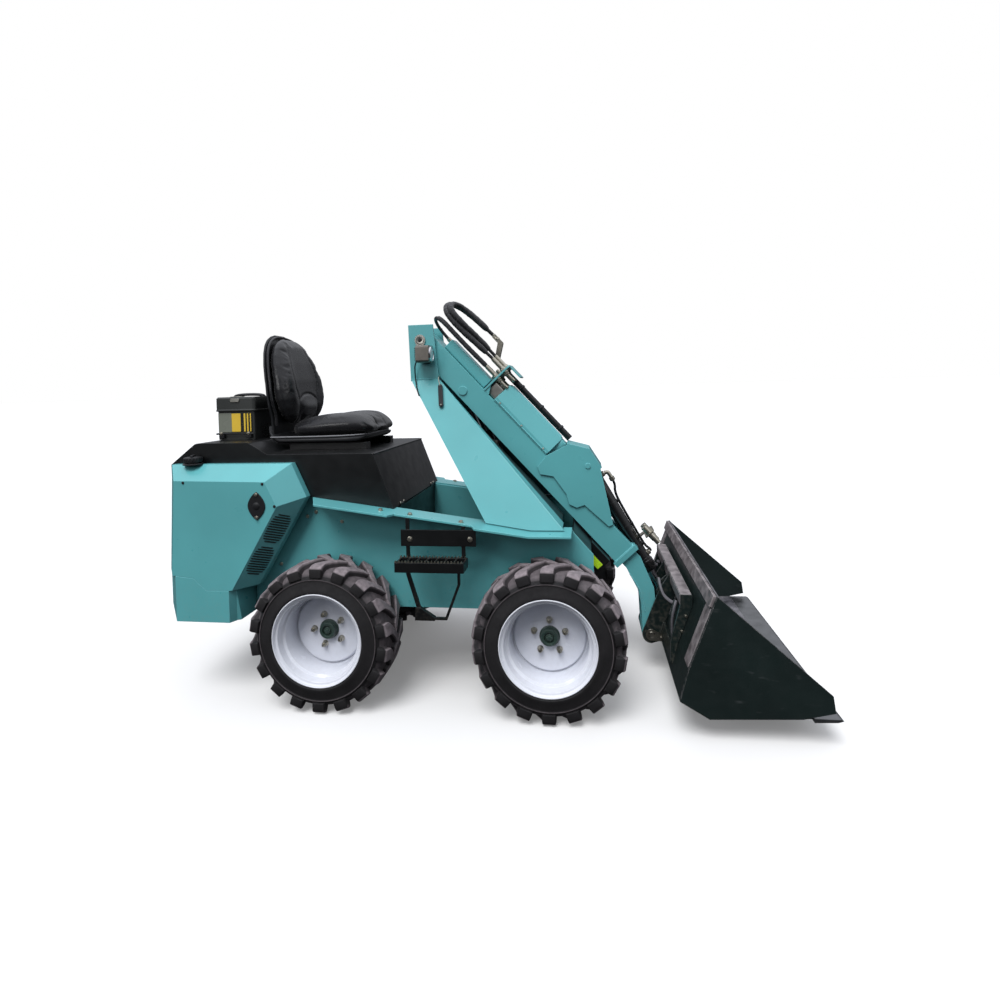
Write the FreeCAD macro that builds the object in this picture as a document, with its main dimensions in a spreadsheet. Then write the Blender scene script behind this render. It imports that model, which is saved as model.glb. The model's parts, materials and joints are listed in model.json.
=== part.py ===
"""Mini wheel loader: a rigid-framed, skid-steered compact loader with a seated driver.

Frame: +X forward, +Y to the machine's left, +Z up, millimetres. The origin lies on the ground, on the
plane of symmetry, midway between the bucket's tip and the rear grilles. Every driving size is a cell of the
sheet "Sizes", and each sketch, feature and placement is bound to those cells.
"""
import FreeCAD
import Part
import Sketcher
import math
import os

doc = FreeCAD.newDocument("mini_wheel_loader")
sheet = doc.addObject("Spreadsheet::Sheet", "Sizes")


# --- sizes that carry their own expression -----------------------------------------------------------------

class Dim:
    """A length or angle together with the spreadsheet expression that gives it."""

    def __init__(self, value, text):
        self.value = float(value)
        self.text = text

    def __add__(self, other):
        other = dim(other)
        return Dim(self.value + other.value, "(%s + %s)" % (self.text, other.text))

    def __sub__(self, other):
        other = dim(other)
        return Dim(self.value - other.value, "(%s - %s)" % (self.text, other.text))

    def __mul__(self, other):
        other = dim(other)
        return Dim(self.value * other.value, "%s * %s" % (self.text, other.text))

    def __truediv__(self, other):
        other = dim(other)
        return Dim(self.value / other.value, "%s / %s" % (self.text, other.text))

    def __radd__(self, other):
        return dim(other) + self

    def __rsub__(self, other):
        return dim(other) - self

    def __rmul__(self, other):
        return dim(other) * self

    def __neg__(self):
        return self * -1


def dim(value):
    """A plain number as a Dim, and a Dim as itself."""
    if isinstance(value, Dim):
        return value
    return Dim(value, "(%r)" % float(value))


def sine(angle):
    return Dim(math.sin(math.radians(angle.value)), "sin(%s)" % angle.text)


def cosine(angle):
    return Dim(math.cos(math.radians(angle.value)), "cos(%s)" % angle.text)


def root(value):
    return Dim(math.sqrt(value.value), "sqrt(%s)" % value.text)


def heading(across, along):
    """The angle, in degrees, whose tangent is across over along."""
    angle = math.degrees(math.atan2(across.value, along.value))
    return Dim(angle, "(atan2(%s; %s) / 1 deg)" % (across.text, along.text))


def size(name, value):
    """A driving size: one cell of the sheet, with its alias."""
    size.row += 1
    cell = "A%d" % size.row
    sheet.set(cell, repr(float(value)))
    sheet.setAlias(cell, name)
    return Dim(value, "Sizes." + name)


size.row = 0


# --- driving sizes -----------------------------------------------------------------------------------------

STANDARD_WHEELBASE = 902.0
STANDARD_AXLE = 295.0

wheelbase = size("wheelbase", STANDARD_WHEELBASE)
axle_height = size("axle_height", STANDARD_AXLE)      # also the tyre's outer radius
rear_axle = size("rear_axle", -583)                   # puts the origin midway along the machine

plate = size("plate", 8)                              # side walls, sills and tower plates
sheet_metal = size("sheet_metal", 4)                  # bonnet, panels and doors
seam = size("seam", 0.3)                              # clearance between faces of separate pieces
running = size("running", 0.05)                       # radial clearance of a pin or rod in its bore

wall_half = size("wall_half", 325)                    # outer face of a side wall
sill_half = size("sill_half", 480)                    # outer edge of a sill and of a rear pod
step_recess = size("step_recess", 40)                 # how far the sill steps in above a step
hood_half = size("hood_half", 365)

tyre_width = size("tyre_width", 204)
tyre_gap = size("tyre_gap", 20)                       # wall to tyre
rim_width = size("rim_width", 218)
rim_radius = size("rim_radius", 184.75)               # over the rim's flanges
bead_radius = size("bead_radius", 168)
rim_wall = size("rim_wall", 6)
disc_thick = size("disc_thick", 8)
disc_face = size("disc_face", 429)                    # outer face of the wheel disc
hub_radius = size("hub_radius", 80)
pilot_radius = size("pilot_radius", 35)
bolt_circle = size("bolt_circle", 127)                # five wheel bolts
bolt_hole = size("bolt_hole", 7.5)                    # radius of a bolt's hole in the disc
motor_radius = size("motor_radius", 70)
motor_length = size("motor_length", 70)
beam_side = size("beam_side", 170)                    # square axle beam
beam_wall = size("beam_wall", 10)

boom_angle = size("boom_angle", 47.6)                 # below horizontal, at rest
boom_height = size("boom_height", 105)
boom_width = size("boom_width", 150)
boom_wall = size("boom_wall", 8)
boom_length = size("boom_length", 1342)               # pivot to the end of the tube
boss_radius = size("boss_radius", 40)
pivot_radius = size("pivot_radius", 20)               # boom pivot pin
cap_half = size("cap_half", 93)                       # outer face of the tower's upright cheeks
tower_foot_half = size("tower_foot_half", 400)        # where the tower's plates meet the sills
boom_gap = size("boom_gap", 7.5)                      # tower's front edge to the lowered boom
nose_drop = size("nose_drop", 153.8)                  # bucket pin below the boom's centre line
nose_reach = size("nose_reach", 305)                  # bucket pin beyond the end of the tube
nose_plate = size("nose_plate", 12)
nose_radius = size("nose_radius", 38)
bucket_pin_radius = size("bucket_pin_radius", 15)

lift_radius = size("lift_radius", 36)                 # lift cylinder's barrel
lift_rod_radius = size("lift_rod_radius", 20)
lift_barrel_length = size("lift_barrel_length", 680)  # base pin to the end of the barrel
lift_rod_length = size("lift_rod_length", 520)
lift_eye_width = size("lift_eye_width", 44)
tilt_radius = size("tilt_radius", 29)
tilt_rod_radius = size("tilt_rod_radius", 15)
tilt_barrel_length = size("tilt_barrel_length", 548)
tilt_rod_length = size("tilt_rod_length", 385)
tilt_eye_width = size("tilt_eye_width", 36)
lift_eye_radius = size("lift_eye_radius", 30)
tilt_eye_radius = size("tilt_eye_radius", 26)
cylinder_pin_radius = size("cylinder_pin_radius", 12)

bucket_half = size("bucket_half", 587)
bucket_side = size("bucket_side", 8)
bucket_shell = size("bucket_shell", 6)
coupler_half = size("coupler_half", 365)

hose_diameter = size("hose_diameter", 15)
pipe_radius = size("pipe_radius", 15)                 # oil pipe along the top of the boom
nozzle_radius = size("nozzle_radius", 12.25)          # free end of an attachment coupler


def aft(value):
    """A place along the machine, measured forward from the rear axle."""
    return rear_axle + value


def fore(value):
    """A place that keeps with the front axle, measured from the rear axle at the standard wheelbase."""
    return rear_axle + wheelbase + (value - STANDARD_WHEELBASE)


def mid(value):
    """A place that keeps with the middle of the wheelbase, measured in the same way."""
    return rear_axle + wheelbase / 2 + (value - STANDARD_WHEELBASE / 2)


def high(value):
    """A height above the ground on the standard tyre: the frame rides up or down with its axles."""
    return axle_height + (value - STANDARD_AXLE)


front_axle = rear_axle + wheelbase


# --- how pieces are drawn ----------------------------------------------------------------------------------

NODES = {}
ROLES = {"XY": "XY_Plane", "XZ": "XZ_Plane", "YZ": "YZ_Plane"}


def new_body(name, keep=True):
    """A PartDesign body, one sub-part of the machine."""
    body = doc.addObject("PartDesign::Body", name)
    body.Label = name
    if keep:
        NODES[name] = body
    return body


def group(name, members):
    """Like pieces that share one sub-part."""
    compound = doc.addObject("Part::Compound", name)
    compound.Label = name
    compound.Links = members
    NODES[name] = compound
    return compound


def add_arc(sketch, start, end, radius):
    """An arc from start to end; its centre lies left of the way for a positive radius, right for a negative."""
    chord = end - start
    reach = abs(radius)
    lift = math.sqrt(max(reach * reach - chord.Length ** 2 / 4, 0.0))
    left = FreeCAD.Vector(-chord.y, chord.x, 0).normalize()
    side = 1 if radius > 0 else -1
    centre = (start + end) * 0.5 + left * (side * lift)
    first, last = (start, end) if radius > 0 else (end, start)
    begin = math.atan2(first.y - centre.y, first.x - centre.x)
    finish = math.atan2(last.y - centre.y, last.x - centre.x)
    circle = Part.Circle(centre, FreeCAD.Vector(0, 0, 1), reach)
    return sketch.addGeometry(Part.ArcOfCircle(circle, begin, finish), False)


def pin_point(sketch, item, end, point):
    """Ties one end of a sketch line to its two sizes."""
    for kind, value in (("DistanceX", dim(point[0])), ("DistanceY", dim(point[1]))):
        number = sketch.addConstraint(Sketcher.Constraint(kind, -1, 1, item, end, value.value))
        sketch.setExpression("Constraints[%d]" % number, value.text)


def add_loop(sketch, points):
    """A closed outline. A point is (u, v), or (u, v, radius) where an arc runs on to the next point."""
    places = [FreeCAD.Vector(dim(p[0]).value, dim(p[1]).value, 0) for p in points]
    edges = []
    for number, point in enumerate(points):
        start = places[number]
        end = places[(number + 1) % len(points)]
        if len(point) == 3:
            bow = dim(point[2])
            item = add_arc(sketch, start, end, bow.value)
            edges.append((item, 1, 2) if bow.value > 0 else (item, 2, 1))
            size_of_arc = bow if bow.value > 0 else -bow
            fixed = sketch.addConstraint(Sketcher.Constraint("Radius", item, size_of_arc.value))
            sketch.setExpression("Constraints[%d]" % fixed, size_of_arc.text)
        else:
            edges.append((sketch.addGeometry(Part.LineSegment(start, end), False), 1, 2))
    for number, edge in enumerate(edges):
        following = edges[(number + 1) % len(edges)]
        sketch.addConstraint(Sketcher.Constraint("Coincident", edge[0], edge[2], following[0], following[1]))
    for edge, point in zip(edges, points):
        pin_point(sketch, edge[0], edge[1], point)


def add_ring(sketch, ring):
    """A circle: ("ring", u, v, radius)."""
    u, v, radius = [dim(value) for value in ring[1:]]
    circle = Part.Circle(FreeCAD.Vector(u.value, v.value, 0), FreeCAD.Vector(0, 0, 1), radius.value)
    item = sketch.addGeometry(circle, False)
    fixed = sketch.addConstraint(Sketcher.Constraint("Radius", item, radius.value))
    sketch.setExpression("Constraints[%d]" % fixed, radius.text)
    pin_point(sketch, item, 3, (u, v))


def draw(body, plane, outlines, offset=0, turned=None):
    """A sketch on one of the body's own planes, moved along its normal, or moved and turned.

    turned is (axis, angle, base), all in the plane's own x, y and normal.
    """
    sketch = body.newObject("Sketcher::SketchObject", body.Name + "_sketch")
    origin_plane = [item for item in body.Origin.OriginFeatures if item.Role == ROLES[plane]][0]
    sketch.AttachmentSupport = (origin_plane, [""])
    sketch.MapMode = "FlatFace"
    for outline in outlines:
        if outline[0] == "ring":
            add_ring(sketch, outline)
        else:
            add_loop(sketch, outline)
    if turned:
        axis, angle, base = turned
        base = [dim(value) for value in base]
        where = FreeCAD.Vector(*[value.value for value in base])
        way = FreeCAD.Rotation(FreeCAD.Vector(*axis), angle.value)
        sketch.AttachmentOffset = FreeCAD.Placement(where, way)
        for letter, value in zip("xyz", base):
            sketch.setExpression("AttachmentOffset.Base." + letter, value.text)
        sketch.setExpression("AttachmentOffset.Rotation.Angle", angle.text)
    else:
        sketch.setExpression("AttachmentOffset.Base.z", dim(offset).text)
    return sketch


def span(plane, low, high_end):
    """Where a sketch lies, and how far it is padded, to fill low to high along the plane's axis.

    The XZ plane's own normal points to -Y, so its sketch lies at the high end.
    """
    if plane == "XZ":
        return -dim(high_end), dim(high_end) - low
    return dim(low), dim(high_end) - low


def add(body, plane, outlines, low, high_end):
    """Pads outlines between two places along the plane's axis."""
    offset, length = span(plane, low, high_end)
    pad = body.newObject("PartDesign::Pad", body.Name + "_pad")
    pad.Profile = draw(body, plane, outlines, offset)
    pad.setExpression("Length", length.text)
    return pad


def cut(body, plane, outlines, low, high_end):
    """Pockets outlines between two places, and makes sure that something was cut."""
    doc.recompute()
    before = body.Shape.Volume
    offset, length = span(plane, low, high_end)
    pocket = body.newObject("PartDesign::Pocket", body.Name + "_pocket")
    pocket.Profile = draw(body, plane, outlines, offset)
    pocket.Reversed = True
    pocket.setExpression("Length", length.text)
    doc.recompute()
    if not body.Shape.Volume < before - 1:
        raise RuntimeError("nothing was cut from " + body.Label)
    return pocket


def slab(name, plane, outlines, low, high_end, keep=True):
    """A sub-part that is one padded outline."""
    body = new_body(name, keep)
    add(body, plane, outlines, low, high_end)
    return body


def turn(body, outline):
    """Turns an outline of (across, radius) points about the Y axis."""
    revolution = body.newObject("PartDesign::Revolution", body.Name + "_turned")
    sketch = draw(body, "YZ", [outline])
    revolution.Profile = sketch
    revolution.ReferenceAxis = (sketch, ["H_Axis"])
    revolution.Angle = 360
    return revolution


def spin(body, outline):
    """Turns an outline of (radius, height) points about the Z axis."""
    revolution = body.newObject("PartDesign::Revolution", body.Name + "_turned")
    sketch = draw(body, "XZ", [outline])
    revolution.Profile = sketch
    revolution.ReferenceAxis = (sketch, ["V_Axis"])
    revolution.Angle = 360
    return revolution


def place(body, x, z, angle=None, y=None):
    """Puts a body's own frame somewhere, turned about Y."""
    turned = FreeCAD.Rotation(FreeCAD.Vector(0, 1, 0), angle.value if angle else 0)
    across = y.value if y else 0
    body.Placement = FreeCAD.Placement(FreeCAD.Vector(x.value, across, z.value), turned)
    body.setExpression("Placement.Base.x", x.text)
    body.setExpression("Placement.Base.z", z.text)
    if y:
        body.setExpression("Placement.Base.y", y.text)
    if angle:
        body.setExpression("Placement.Rotation.Angle", angle.text)
    return body


def box(u_low, u_high, v_low, v_high):
    """A rectangular outline."""
    return [(u_low, v_low), (u_high, v_low), (u_high, v_high), (u_low, v_high)]


AXES = {"XY": (0, 1), "XZ": (0, 2), "YZ": (1, 2)}


def soften(body, plane, corners, radius):
    """Rounds the edges that run square to the plane through the given corners."""
    doc.recompute()
    tip = body.Tip
    first, second = AXES[plane]
    names = []
    for number, edge in enumerate(tip.Shape.Edges, 1):
        ends = [vertex.Point for vertex in edge.Vertexes]
        if len(ends) != 2:
            continue
        for corner in corners:
            wanted = (dim(corner[0]).value, dim(corner[1]).value)
            if all(math.hypot(end[first] - wanted[0], end[second] - wanted[1]) < 0.05 for end in ends):
                names.append("Edge%d" % number)
    if len(names) < len(corners):
        raise RuntimeError("an edge to round is missing on " + body.Label)
    fillet = body.newObject("PartDesign::Fillet", body.Name + "_fillet")
    fillet.Base = (tip, names)
    fillet.setExpression("Radius", dim(radius).text)
    doc.recompute()
    return fillet


def loft(body, plane, first, second, first_at, second_at):
    """A ruled loft between two outlines with as many points."""
    feature = body.newObject("PartDesign::AdditiveLoft", body.Name + "_loft")
    feature.Profile = draw(body, plane, [first], span(plane, first_at, first_at)[0])
    feature.Sections = [draw(body, plane, [second], span(plane, second_at, second_at)[0])]
    feature.Ruled = True
    return feature


SIDES = (("right", -1), ("left", 1))


def between(side, inner, outer):
    """The span from inner to outer on one side of the machine, lowest first."""
    if side > 0:
        return dim(inner), dim(outer)
    return -dim(outer), -dim(inner)


# --- datums that several pieces share ----------------------------------------------------------------------

sill_back = (aft(-28), high(816))
sill_knee = (fore(835), high(693))
sill_front = (fore(996), high(693))


def sill_at(x, drop=0):
    """A point of the sills' upper face at x, or drop below it. They fall forward in one straight slope."""
    slope = (sill_knee[1] - sill_back[1]) / (sill_knee[0] - sill_back[0])
    return (x, sill_back[1] + slope * (x - sill_back[0]) - drop)


pivot_x = fore(325)
pivot_z = high(1490)
boom_sine = sine(boom_angle)
boom_cosine = cosine(boom_angle)


def from_boom(along, above):
    """A point given along the boom and square to it, in the machine's own X and Z."""
    x = pivot_x + dim(along) * boom_cosine + dim(above) * boom_sine
    z = pivot_z - dim(along) * boom_sine + dim(above) * boom_cosine
    return (x, z)


nose_end = boom_length + nose_reach
bucket_pin = from_boom(nose_end, -nose_drop)
lift_base = (fore(820), high(420))
lift_eye = (dim(300), dim(-20))                       # in the boom's frame
tilt_base = (dim(930), dim(155))                      # in the boom's frame
tilt_eye = (dim(60), dim(166))                        # forward of and above the bucket pin
plate_back = dim(363)                                 # the hose bulkhead's rear face, along the boom

# Each point of a hose: along the boom from its pivot, across it, and above its centre line.
OUTER_HOSE = ((200, 66, 246), (102, 69, 242), (0, 72, 230), (-44.8, 31, 211.8), (-44.8, -27, 186.2),
              (0, -68, 168), (100, -70, 166), (198, -63, 174), (292, -60, 178))
INNER_HOSE = ((200, 44, 249), (106, 46, 247), (8, 50, 236), (-30, 14.3, 223.1), (-30, -36.2, 204.9),
              (8, -72, 192), (98, -66, 191), (192, -36, 194), (288, -30, 192))
LOWER_HOSE = ((296, -62, 134), (202, -64, 131.5), (102, -68, 132), (0, -67, 134), (-41.8, -28.1, 118.8),
              (-41.8, 27, 97.3), (0, 66, 82), (54, 65.5, 80.5))
HOSE_END = 0.6                                        # from a hose's end to its ferrule

# --- frame -------------------------------------------------------------------------------------------------


def side_walls():
    """The frame's two side plates, dropping round each axle to carry its wheel motors."""
    drop = dim(200)
    keel = high(353)
    for word, side in SIDES:
        body = new_body("side_wall_" + word)
        outline = [
            (aft(-378), keel), (aft(-130), keel), (aft(-120), drop), (aft(120), drop), (aft(130), keel),
            (fore(770), keel), (fore(782), drop), (fore(1022), drop), (fore(1050), high(380)),
            (fore(1078), high(470)), (fore(1079), high(583)), (fore(1003), high(671)),
            (fore(996), high(693) - plate), (sill_knee[0], sill_knee[1] - plate),
            sill_at(aft(-105), plate), (aft(-600), high(812)), (aft(-600), high(530)), (aft(-378), high(530)),
        ]
        add(body, "XZ", [outline], *between(side, wall_half - plate, wall_half))


def sills():
    """The flange along the top of each wall, which steps in above the step."""
    members = []
    for word, side in SIDES:
        body = new_body("sill_" + word, keep=False)
        band = [sill_at(aft(-105)), sill_at(aft(-105), plate), (sill_knee[0], sill_knee[1] - plate),
                (sill_front[0], sill_front[1] - plate), sill_front, sill_knee]
        add(body, "XZ", [band], *between(side, wall_half, sill_half))
        edge = sill_half * side
        inner = wall_half * side
        notch = (sill_half - step_recess) * side
        cut(body, "XY", [[(aft(-28), edge), (aft(-120), edge), (aft(-120), inner), (aft(-105), inner)],
                         [(mid(276), edge), (mid(293), notch), (mid(606), notch), (mid(623), edge)]],
            high(640), high(840))
        members.append(body)
    group("sills", members)


def floor_panels():
    """The belly plate in the three lengths that the axle beams leave."""
    inner = wall_half - plate - seam
    under = high(353)
    top = under + plate
    gap = beam_side / 2 + seam
    rear_plate = slab("belly_rear", "XZ", [box(aft(-378), rear_axle - gap, under, top)], -inner, inner,
                      keep=False)
    middle_plate = slab("belly_middle", "XZ", [box(rear_axle + gap, front_axle - gap, under, top)],
                        -inner, inner, keep=False)
    nose = [(front_axle + gap, under), (fore(1024), under), (fore(1042), high(380)), (fore(1070), high(470)),
            (fore(1071), high(580)), (fore(1000), high(661)), (fore(994), high(655)), (fore(1063), high(577)),
            (fore(1062), high(472)), (fore(1035), high(384)), (fore(1020), top), (front_axle + gap, top)]
    nose_panel = slab("nose_panel", "XZ", [nose], -inner, inner, keep=False)
    group("belly_plate", [rear_plate, middle_plate, nose_panel])


def axle(word, x):
    """A square axle beam between the walls, with a wheel motor outside each wall."""
    body = new_body(word + "_axle")
    half = beam_side / 2
    hollow = half - beam_wall
    inner = wall_half - plate
    add(body, "XZ", [box(x - half, x + half, axle_height - half, axle_height + half),
                     box(x - hollow, x + hollow, axle_height - hollow, axle_height + hollow)], -inner, inner)
    members = [body]
    del NODES[word + "_axle"]
    body.Label = word + "_beam"
    for name, side in SIDES:
        motor = slab(word + "_motor_" + name, "XZ", [("ring", x, axle_height, motor_radius)],
                     *between(side, wall_half, wall_half + motor_length), keep=False)
        members.append(motor)
    group(word + "_axle", members)


def engine():
    """The engine as one plain block on the rear axle beam."""
    bottom = axle_height + beam_side / 2
    body = slab("engine_block", "XZ", [box(aft(-365), aft(150), bottom, high(940))], -205, 205)
    soften(body, "XZ", [(aft(-365), high(940)), (aft(150), high(940))], 30)


def counterweight():
    """The cast block below the rear pods, with its corners cut off in plan."""
    body = slab("counterweight", "XZ",
                [[(aft(-652), high(326)), (aft(-381), high(326)), (aft(-395), high(459)),
                  (aft(-510), high(457)), (aft(-569), high(508)), (aft(-725), high(523)),
                  (aft(-725), high(373))]], -sill_half, sill_half)
    for word, side in SIDES:
        edge = sill_half * side
        outer = edge * 1.02
        cut(body, "XY", [[(aft(-740), outer), (aft(-648), outer), (aft(-648), edge),
                          (aft(-725), edge - 80 * side), (aft(-740), edge - 80 * side)]],
            high(300), high(560))
        cut(body, "XY", [[(aft(-370), outer), (aft(-370), edge - 50 * side), (aft(-395), edge - 30 * side),
                          (aft(-410), edge), (aft(-410), outer)]], high(300), high(560))


def rear_pods():
    """The rounded boxes beside the bonnet: the louvred face looks down at the rear tyre."""
    foot = [(aft(-510), high(457) + seam), (aft(-569), high(508) + seam)]
    outer = [(aft(-662), high(517) + seam), (aft(-640), high(914)), (aft(-235), high(907)), (aft(-186), high(807)),
             (aft(-395), high(459) + seam)] + foot
    inner = [(aft(-728), high(523) + seam), (aft(-705), high(972)), (aft(-159), high(972)),
             (aft(-96), high(832)), (aft(-320), high(461) + seam)] + foot
    for word, side in SIDES:
        body = new_body("rear_pod_" + word)
        near = sill_half * side
        bend = (sill_half - 80) * side
        add(body, "XZ", [inner], *between(side, hood_half + seam, sill_half - 80))
        loft(body, "XZ", inner, outer, bend, near)


def hood():
    """The bonnet: a bent cover open below, stepped down behind the seat."""
    body = new_body("hood")
    brow = high(826) + plate
    front = sill_at(aft(268), -seam)
    outline = [(aft(-735), brow), (aft(-735), high(968)), (aft(-617), high(1058)), (aft(-372), high(1058)),
               (aft(-287), high(1006)), (aft(183), high(1006)), front, sill_at(aft(-96), -seam)]
    add(body, "XZ", [outline], -hood_half, hood_half)
    soften(body, "XZ", [outline[2], outline[3], outline[4]], 30)
    soften(body, "XZ", [outline[5]], 12)
    # The hollow runs a sheet's thickness inside the outline, and out through the bottom.
    skin = sheet_metal
    below = 10
    hollow = [(aft(-735) + skin, brow - below), (aft(-735) + skin, high(968) - skin / 2),
              (aft(-617) + skin / 3, high(1058) - skin), (aft(-372) - skin / 3, high(1058) - skin),
              (aft(-287) - skin / 3, high(1006) - skin), (aft(183) - skin * 0.7, high(1006) - skin),
              (front[0] - skin * 1.07, front[1]), (front[0] - skin * 1.07, front[1] - below),
              sill_at(aft(-96), below)]
    cut(body, "XZ", [hollow], -hood_half + skin, hood_half - skin)


def rear_door():
    """The louvred door that closes the bonnet behind, between the pods."""
    foot = high(523) + seam
    top = high(826) + plate - seam
    body = slab("rear_door", "XZ", [box(aft(-735), aft(-727), foot, top)], -hood_half, hood_half)
    for row in range(8):
        low = foot + 50 + 28 * row
        cut(body, "YZ", [box(-250, -20, low, low + 12), box(20, 250, low, low + 12)], aft(-740), aft(-720))


def hood_front():
    """The footwell's upright rear face, below the bonnet's lip."""
    inner = wall_half - plate - seam
    slab("hood_front", "XZ", [box(aft(258), aft(262), high(477), high(766))], -inner, inner)


def foot_floor():
    """The floor under the driver's feet."""
    inner = wall_half - plate - seam
    slab("foot_floor", "XZ", [box(aft(262) + seam, fore(640), high(477), high(481))], -inner, inner)


def battery():
    """The battery box that stands on the bonnet behind the seat."""
    top = high(1226)
    body = slab("battery_box", "XY", [box(aft(-622), aft(-440), -194, 40)], high(1058) + seam, top)
    soften(body, "XY", [(aft(-622), -194), (aft(-440), -194), (aft(-440), 40), (aft(-622), 40)], 8)
    lid = slab("battery_lid", "XY", [box(aft(-628), aft(-434), -200, 46)], top, high(1252))
    soften(lid, "XY", [(aft(-628), -200), (aft(-434), -200), (aft(-434), 46), (aft(-628), 46)], 14)


def seat():
    """The driver's seat: runners, a moulded pan, a two-lobed cushion and a tapering backrest."""
    runners = []
    for side in (-1, 1):
        place_y = between(side, 140, 180)
        runners.append(slab("seat_runner_%d" % len(runners), "XZ",
                            [box(aft(-280), aft(90), high(1006) + seam, high(1037))], *place_y, keep=False))
    group("seat_runners", runners)
    half = 225
    pan = new_body("seat_pan")
    add(pan, "XZ", [[(aft(-300), high(1037)), (aft(96), high(1037)), (aft(110), high(1052)),
                     (aft(110), high(1085)), (aft(104), high(1085)), (aft(100), high(1062)),
                     (aft(-292), high(1062)), (aft(-321), high(1117)), (aft(-344), high(1150)),
                     (aft(-397), high(1478)), (aft(-412), high(1478)), (aft(-358), high(1140)),
                     (aft(-326), high(1066))]], -half, half)
    for word, side in SIDES:
        edge = half * side
        cut(pan, "YZ", [[(edge * 1.1, high(1150)), (edge * 1.1, high(1560)), (edge * 0.62, high(1560)),
                         (edge, high(1150))]], aft(-450), aft(-300))
    cushion = slab("seat_cushion", "XZ",
                   [[(aft(-270), high(1063)), (aft(98), high(1063)), (aft(108), high(1100)),
                     (aft(86), high(1150)), (aft(20), high(1165)), (aft(-120), high(1142)),
                     (aft(-270), high(1128))]], 4 - half, half - 4)
    soften(cushion, "XZ", [(aft(108), high(1100)), (aft(86), high(1150)), (aft(20), high(1165))], 24)
    back = new_body("seat_backrest")
    add(back, "XZ", [[(aft(-278), high(1130)), (aft(-252), high(1180)), (aft(-262), high(1300)),
                      (aft(-322), high(1500)), (aft(-352), high(1525)), (aft(-392), high(1515)),
                      (aft(-396), high(1478)), (aft(-343), high(1150)), (aft(-320), high(1118))]],
        5 - half, half - 5)
    for word, side in SIDES:
        edge = half * side
        cut(back, "YZ", [[(edge * 1.1, high(1220)), (edge * 1.1, high(1560)), (edge * 0.64, high(1560)),
                          (edge * 0.98, high(1220))]], aft(-450), aft(-200))


tower_seam = high(1312)                                # where the upright cheeks meet the leaning plates
tower_back = (fore(276), tower_seam)
tower_lean = heading(tower_foot_half - cap_half, high(1312) - high(693))
front_plane = -(boom_height / 2 + boom_gap)           # square to the boom, in its frame
panel_foot = sill_at(fore(655))


def on_front(height):
    """The tower's front edge, which runs parallel to the lowered boom, at a height."""
    return pivot_x + (front_plane - (height - pivot_z) * boom_cosine) / boom_sine


def tower():
    """The boom's tower: a pair of upright cheeks on two plates that lean in from the sills."""
    lift = plate * sine(tower_lean) + seam
    foot = high(693) + lift
    slant = cosine(tower_lean)
    cheek = [(tower_back[0], tower_seam - plate), (on_front(tower_seam) - plate, tower_seam - plate),
             (on_front(tower_seam), tower_seam), (fore(385), high(1560)), (fore(270), high(1560)), tower_back]
    # Heights in the leaning plane are measured down from the seam along the plate.
    leaf = [(on_front(tower_seam), dim(0)), tower_back[:1] + (dim(0),),
            (panel_foot[0], (panel_foot[1] + lift - tower_seam) / slant),
            (sill_knee[0], (foot - tower_seam) / slant), (on_front(foot), (foot - tower_seam) / slant)]
    for word, side in SIDES:
        body = new_body("tower_" + word)
        add(body, "XZ", [cheek], *between(side, cap_half - 10, cap_half))
        pad = body.newObject("PartDesign::Pad", body.Name + "_leaf")
        angle = tower_lean * side
        pad.Profile = draw(body, "XZ", [leaf], turned=((1, 0, 0), angle, (0, tower_seam, cap_half * -side)))
        pad.Reversed = side < 0
        pad.setExpression("Length", plate.text)
        # The fold along the front edge, square to the boom's centre plane.
        top = dim(190)
        bottom = (on_front(foot) - pivot_x) * boom_cosine - (foot - pivot_z) * boom_sine - 10
        spread = (tower_foot_half - cap_half) / (bottom + 10 - 186)
        flange = [(top, (cap_half - 9) * side), (top, (cap_half + 1) * side),
                  (bottom, (cap_half + 1 + spread * (bottom - top)) * side),
                  (bottom, (tower_foot_half - 110) * side), (dim(250), (cap_half + 12) * side)]
        fold = body.newObject("PartDesign::Pad", body.Name + "_fold")
        under = from_boom(0, front_plane - plate)
        fold.Profile = draw(body, "XY", [flange], turned=((0, 1, 0), boom_angle, (under[0], 0, under[1])))
        fold.setExpression("Length", plate.text)
        cut(body, "XZ", [("ring", pivot_x, pivot_z, pivot_radius + running)],
            *between(side, cap_half - 15, cap_half + 5))


def tower_panels():
    """The screwed strips inside the folds, which leave a way through the middle for the lift cylinder."""
    members = []
    for word, side in SIDES:
        strip = [(dim(262), (cap_half + 12) * side), (dim(300), (cap_half + 26) * side),
                 (dim(1008), (tower_foot_half - 90) * side), (dim(1008), (cap_half + 14) * side)]
        top = front_plane - plate - seam
        body = slab("tower_strip_" + word, "XY", [strip], top - sheet_metal, top, keep=False)
        place(body, pivot_x, pivot_z, boom_angle)
        members.append(body)
    members.append(tower_back_panel())
    group("tower_panels", members)


def tower_back_panel():
    """The plate between the tower's rear edges, in front of the driver's knees."""
    run = panel_foot[0] - tower_back[0]
    fall = tower_back[1] - panel_foot[1]
    slope = heading(fall, run)
    length = root(run * run + fall * fall)
    inset = plate / cosine(tower_lean) + sheet_metal / 2
    widen = (tower_foot_half - cap_half) / (high(1312) - high(693)) * fall / length
    start = dim(20)
    finish = length - 12
    narrow = cap_half - inset + widen * start
    wide = cap_half - inset + widen * finish
    body = slab("tower_back_panel", "XY", [[(start, -narrow), (finish, -wide), (finish, wide),
                                            (start, narrow)]], 0, sheet_metal, keep=False)
    return place(body, tower_back[0], tower_back[1], slope)


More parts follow.
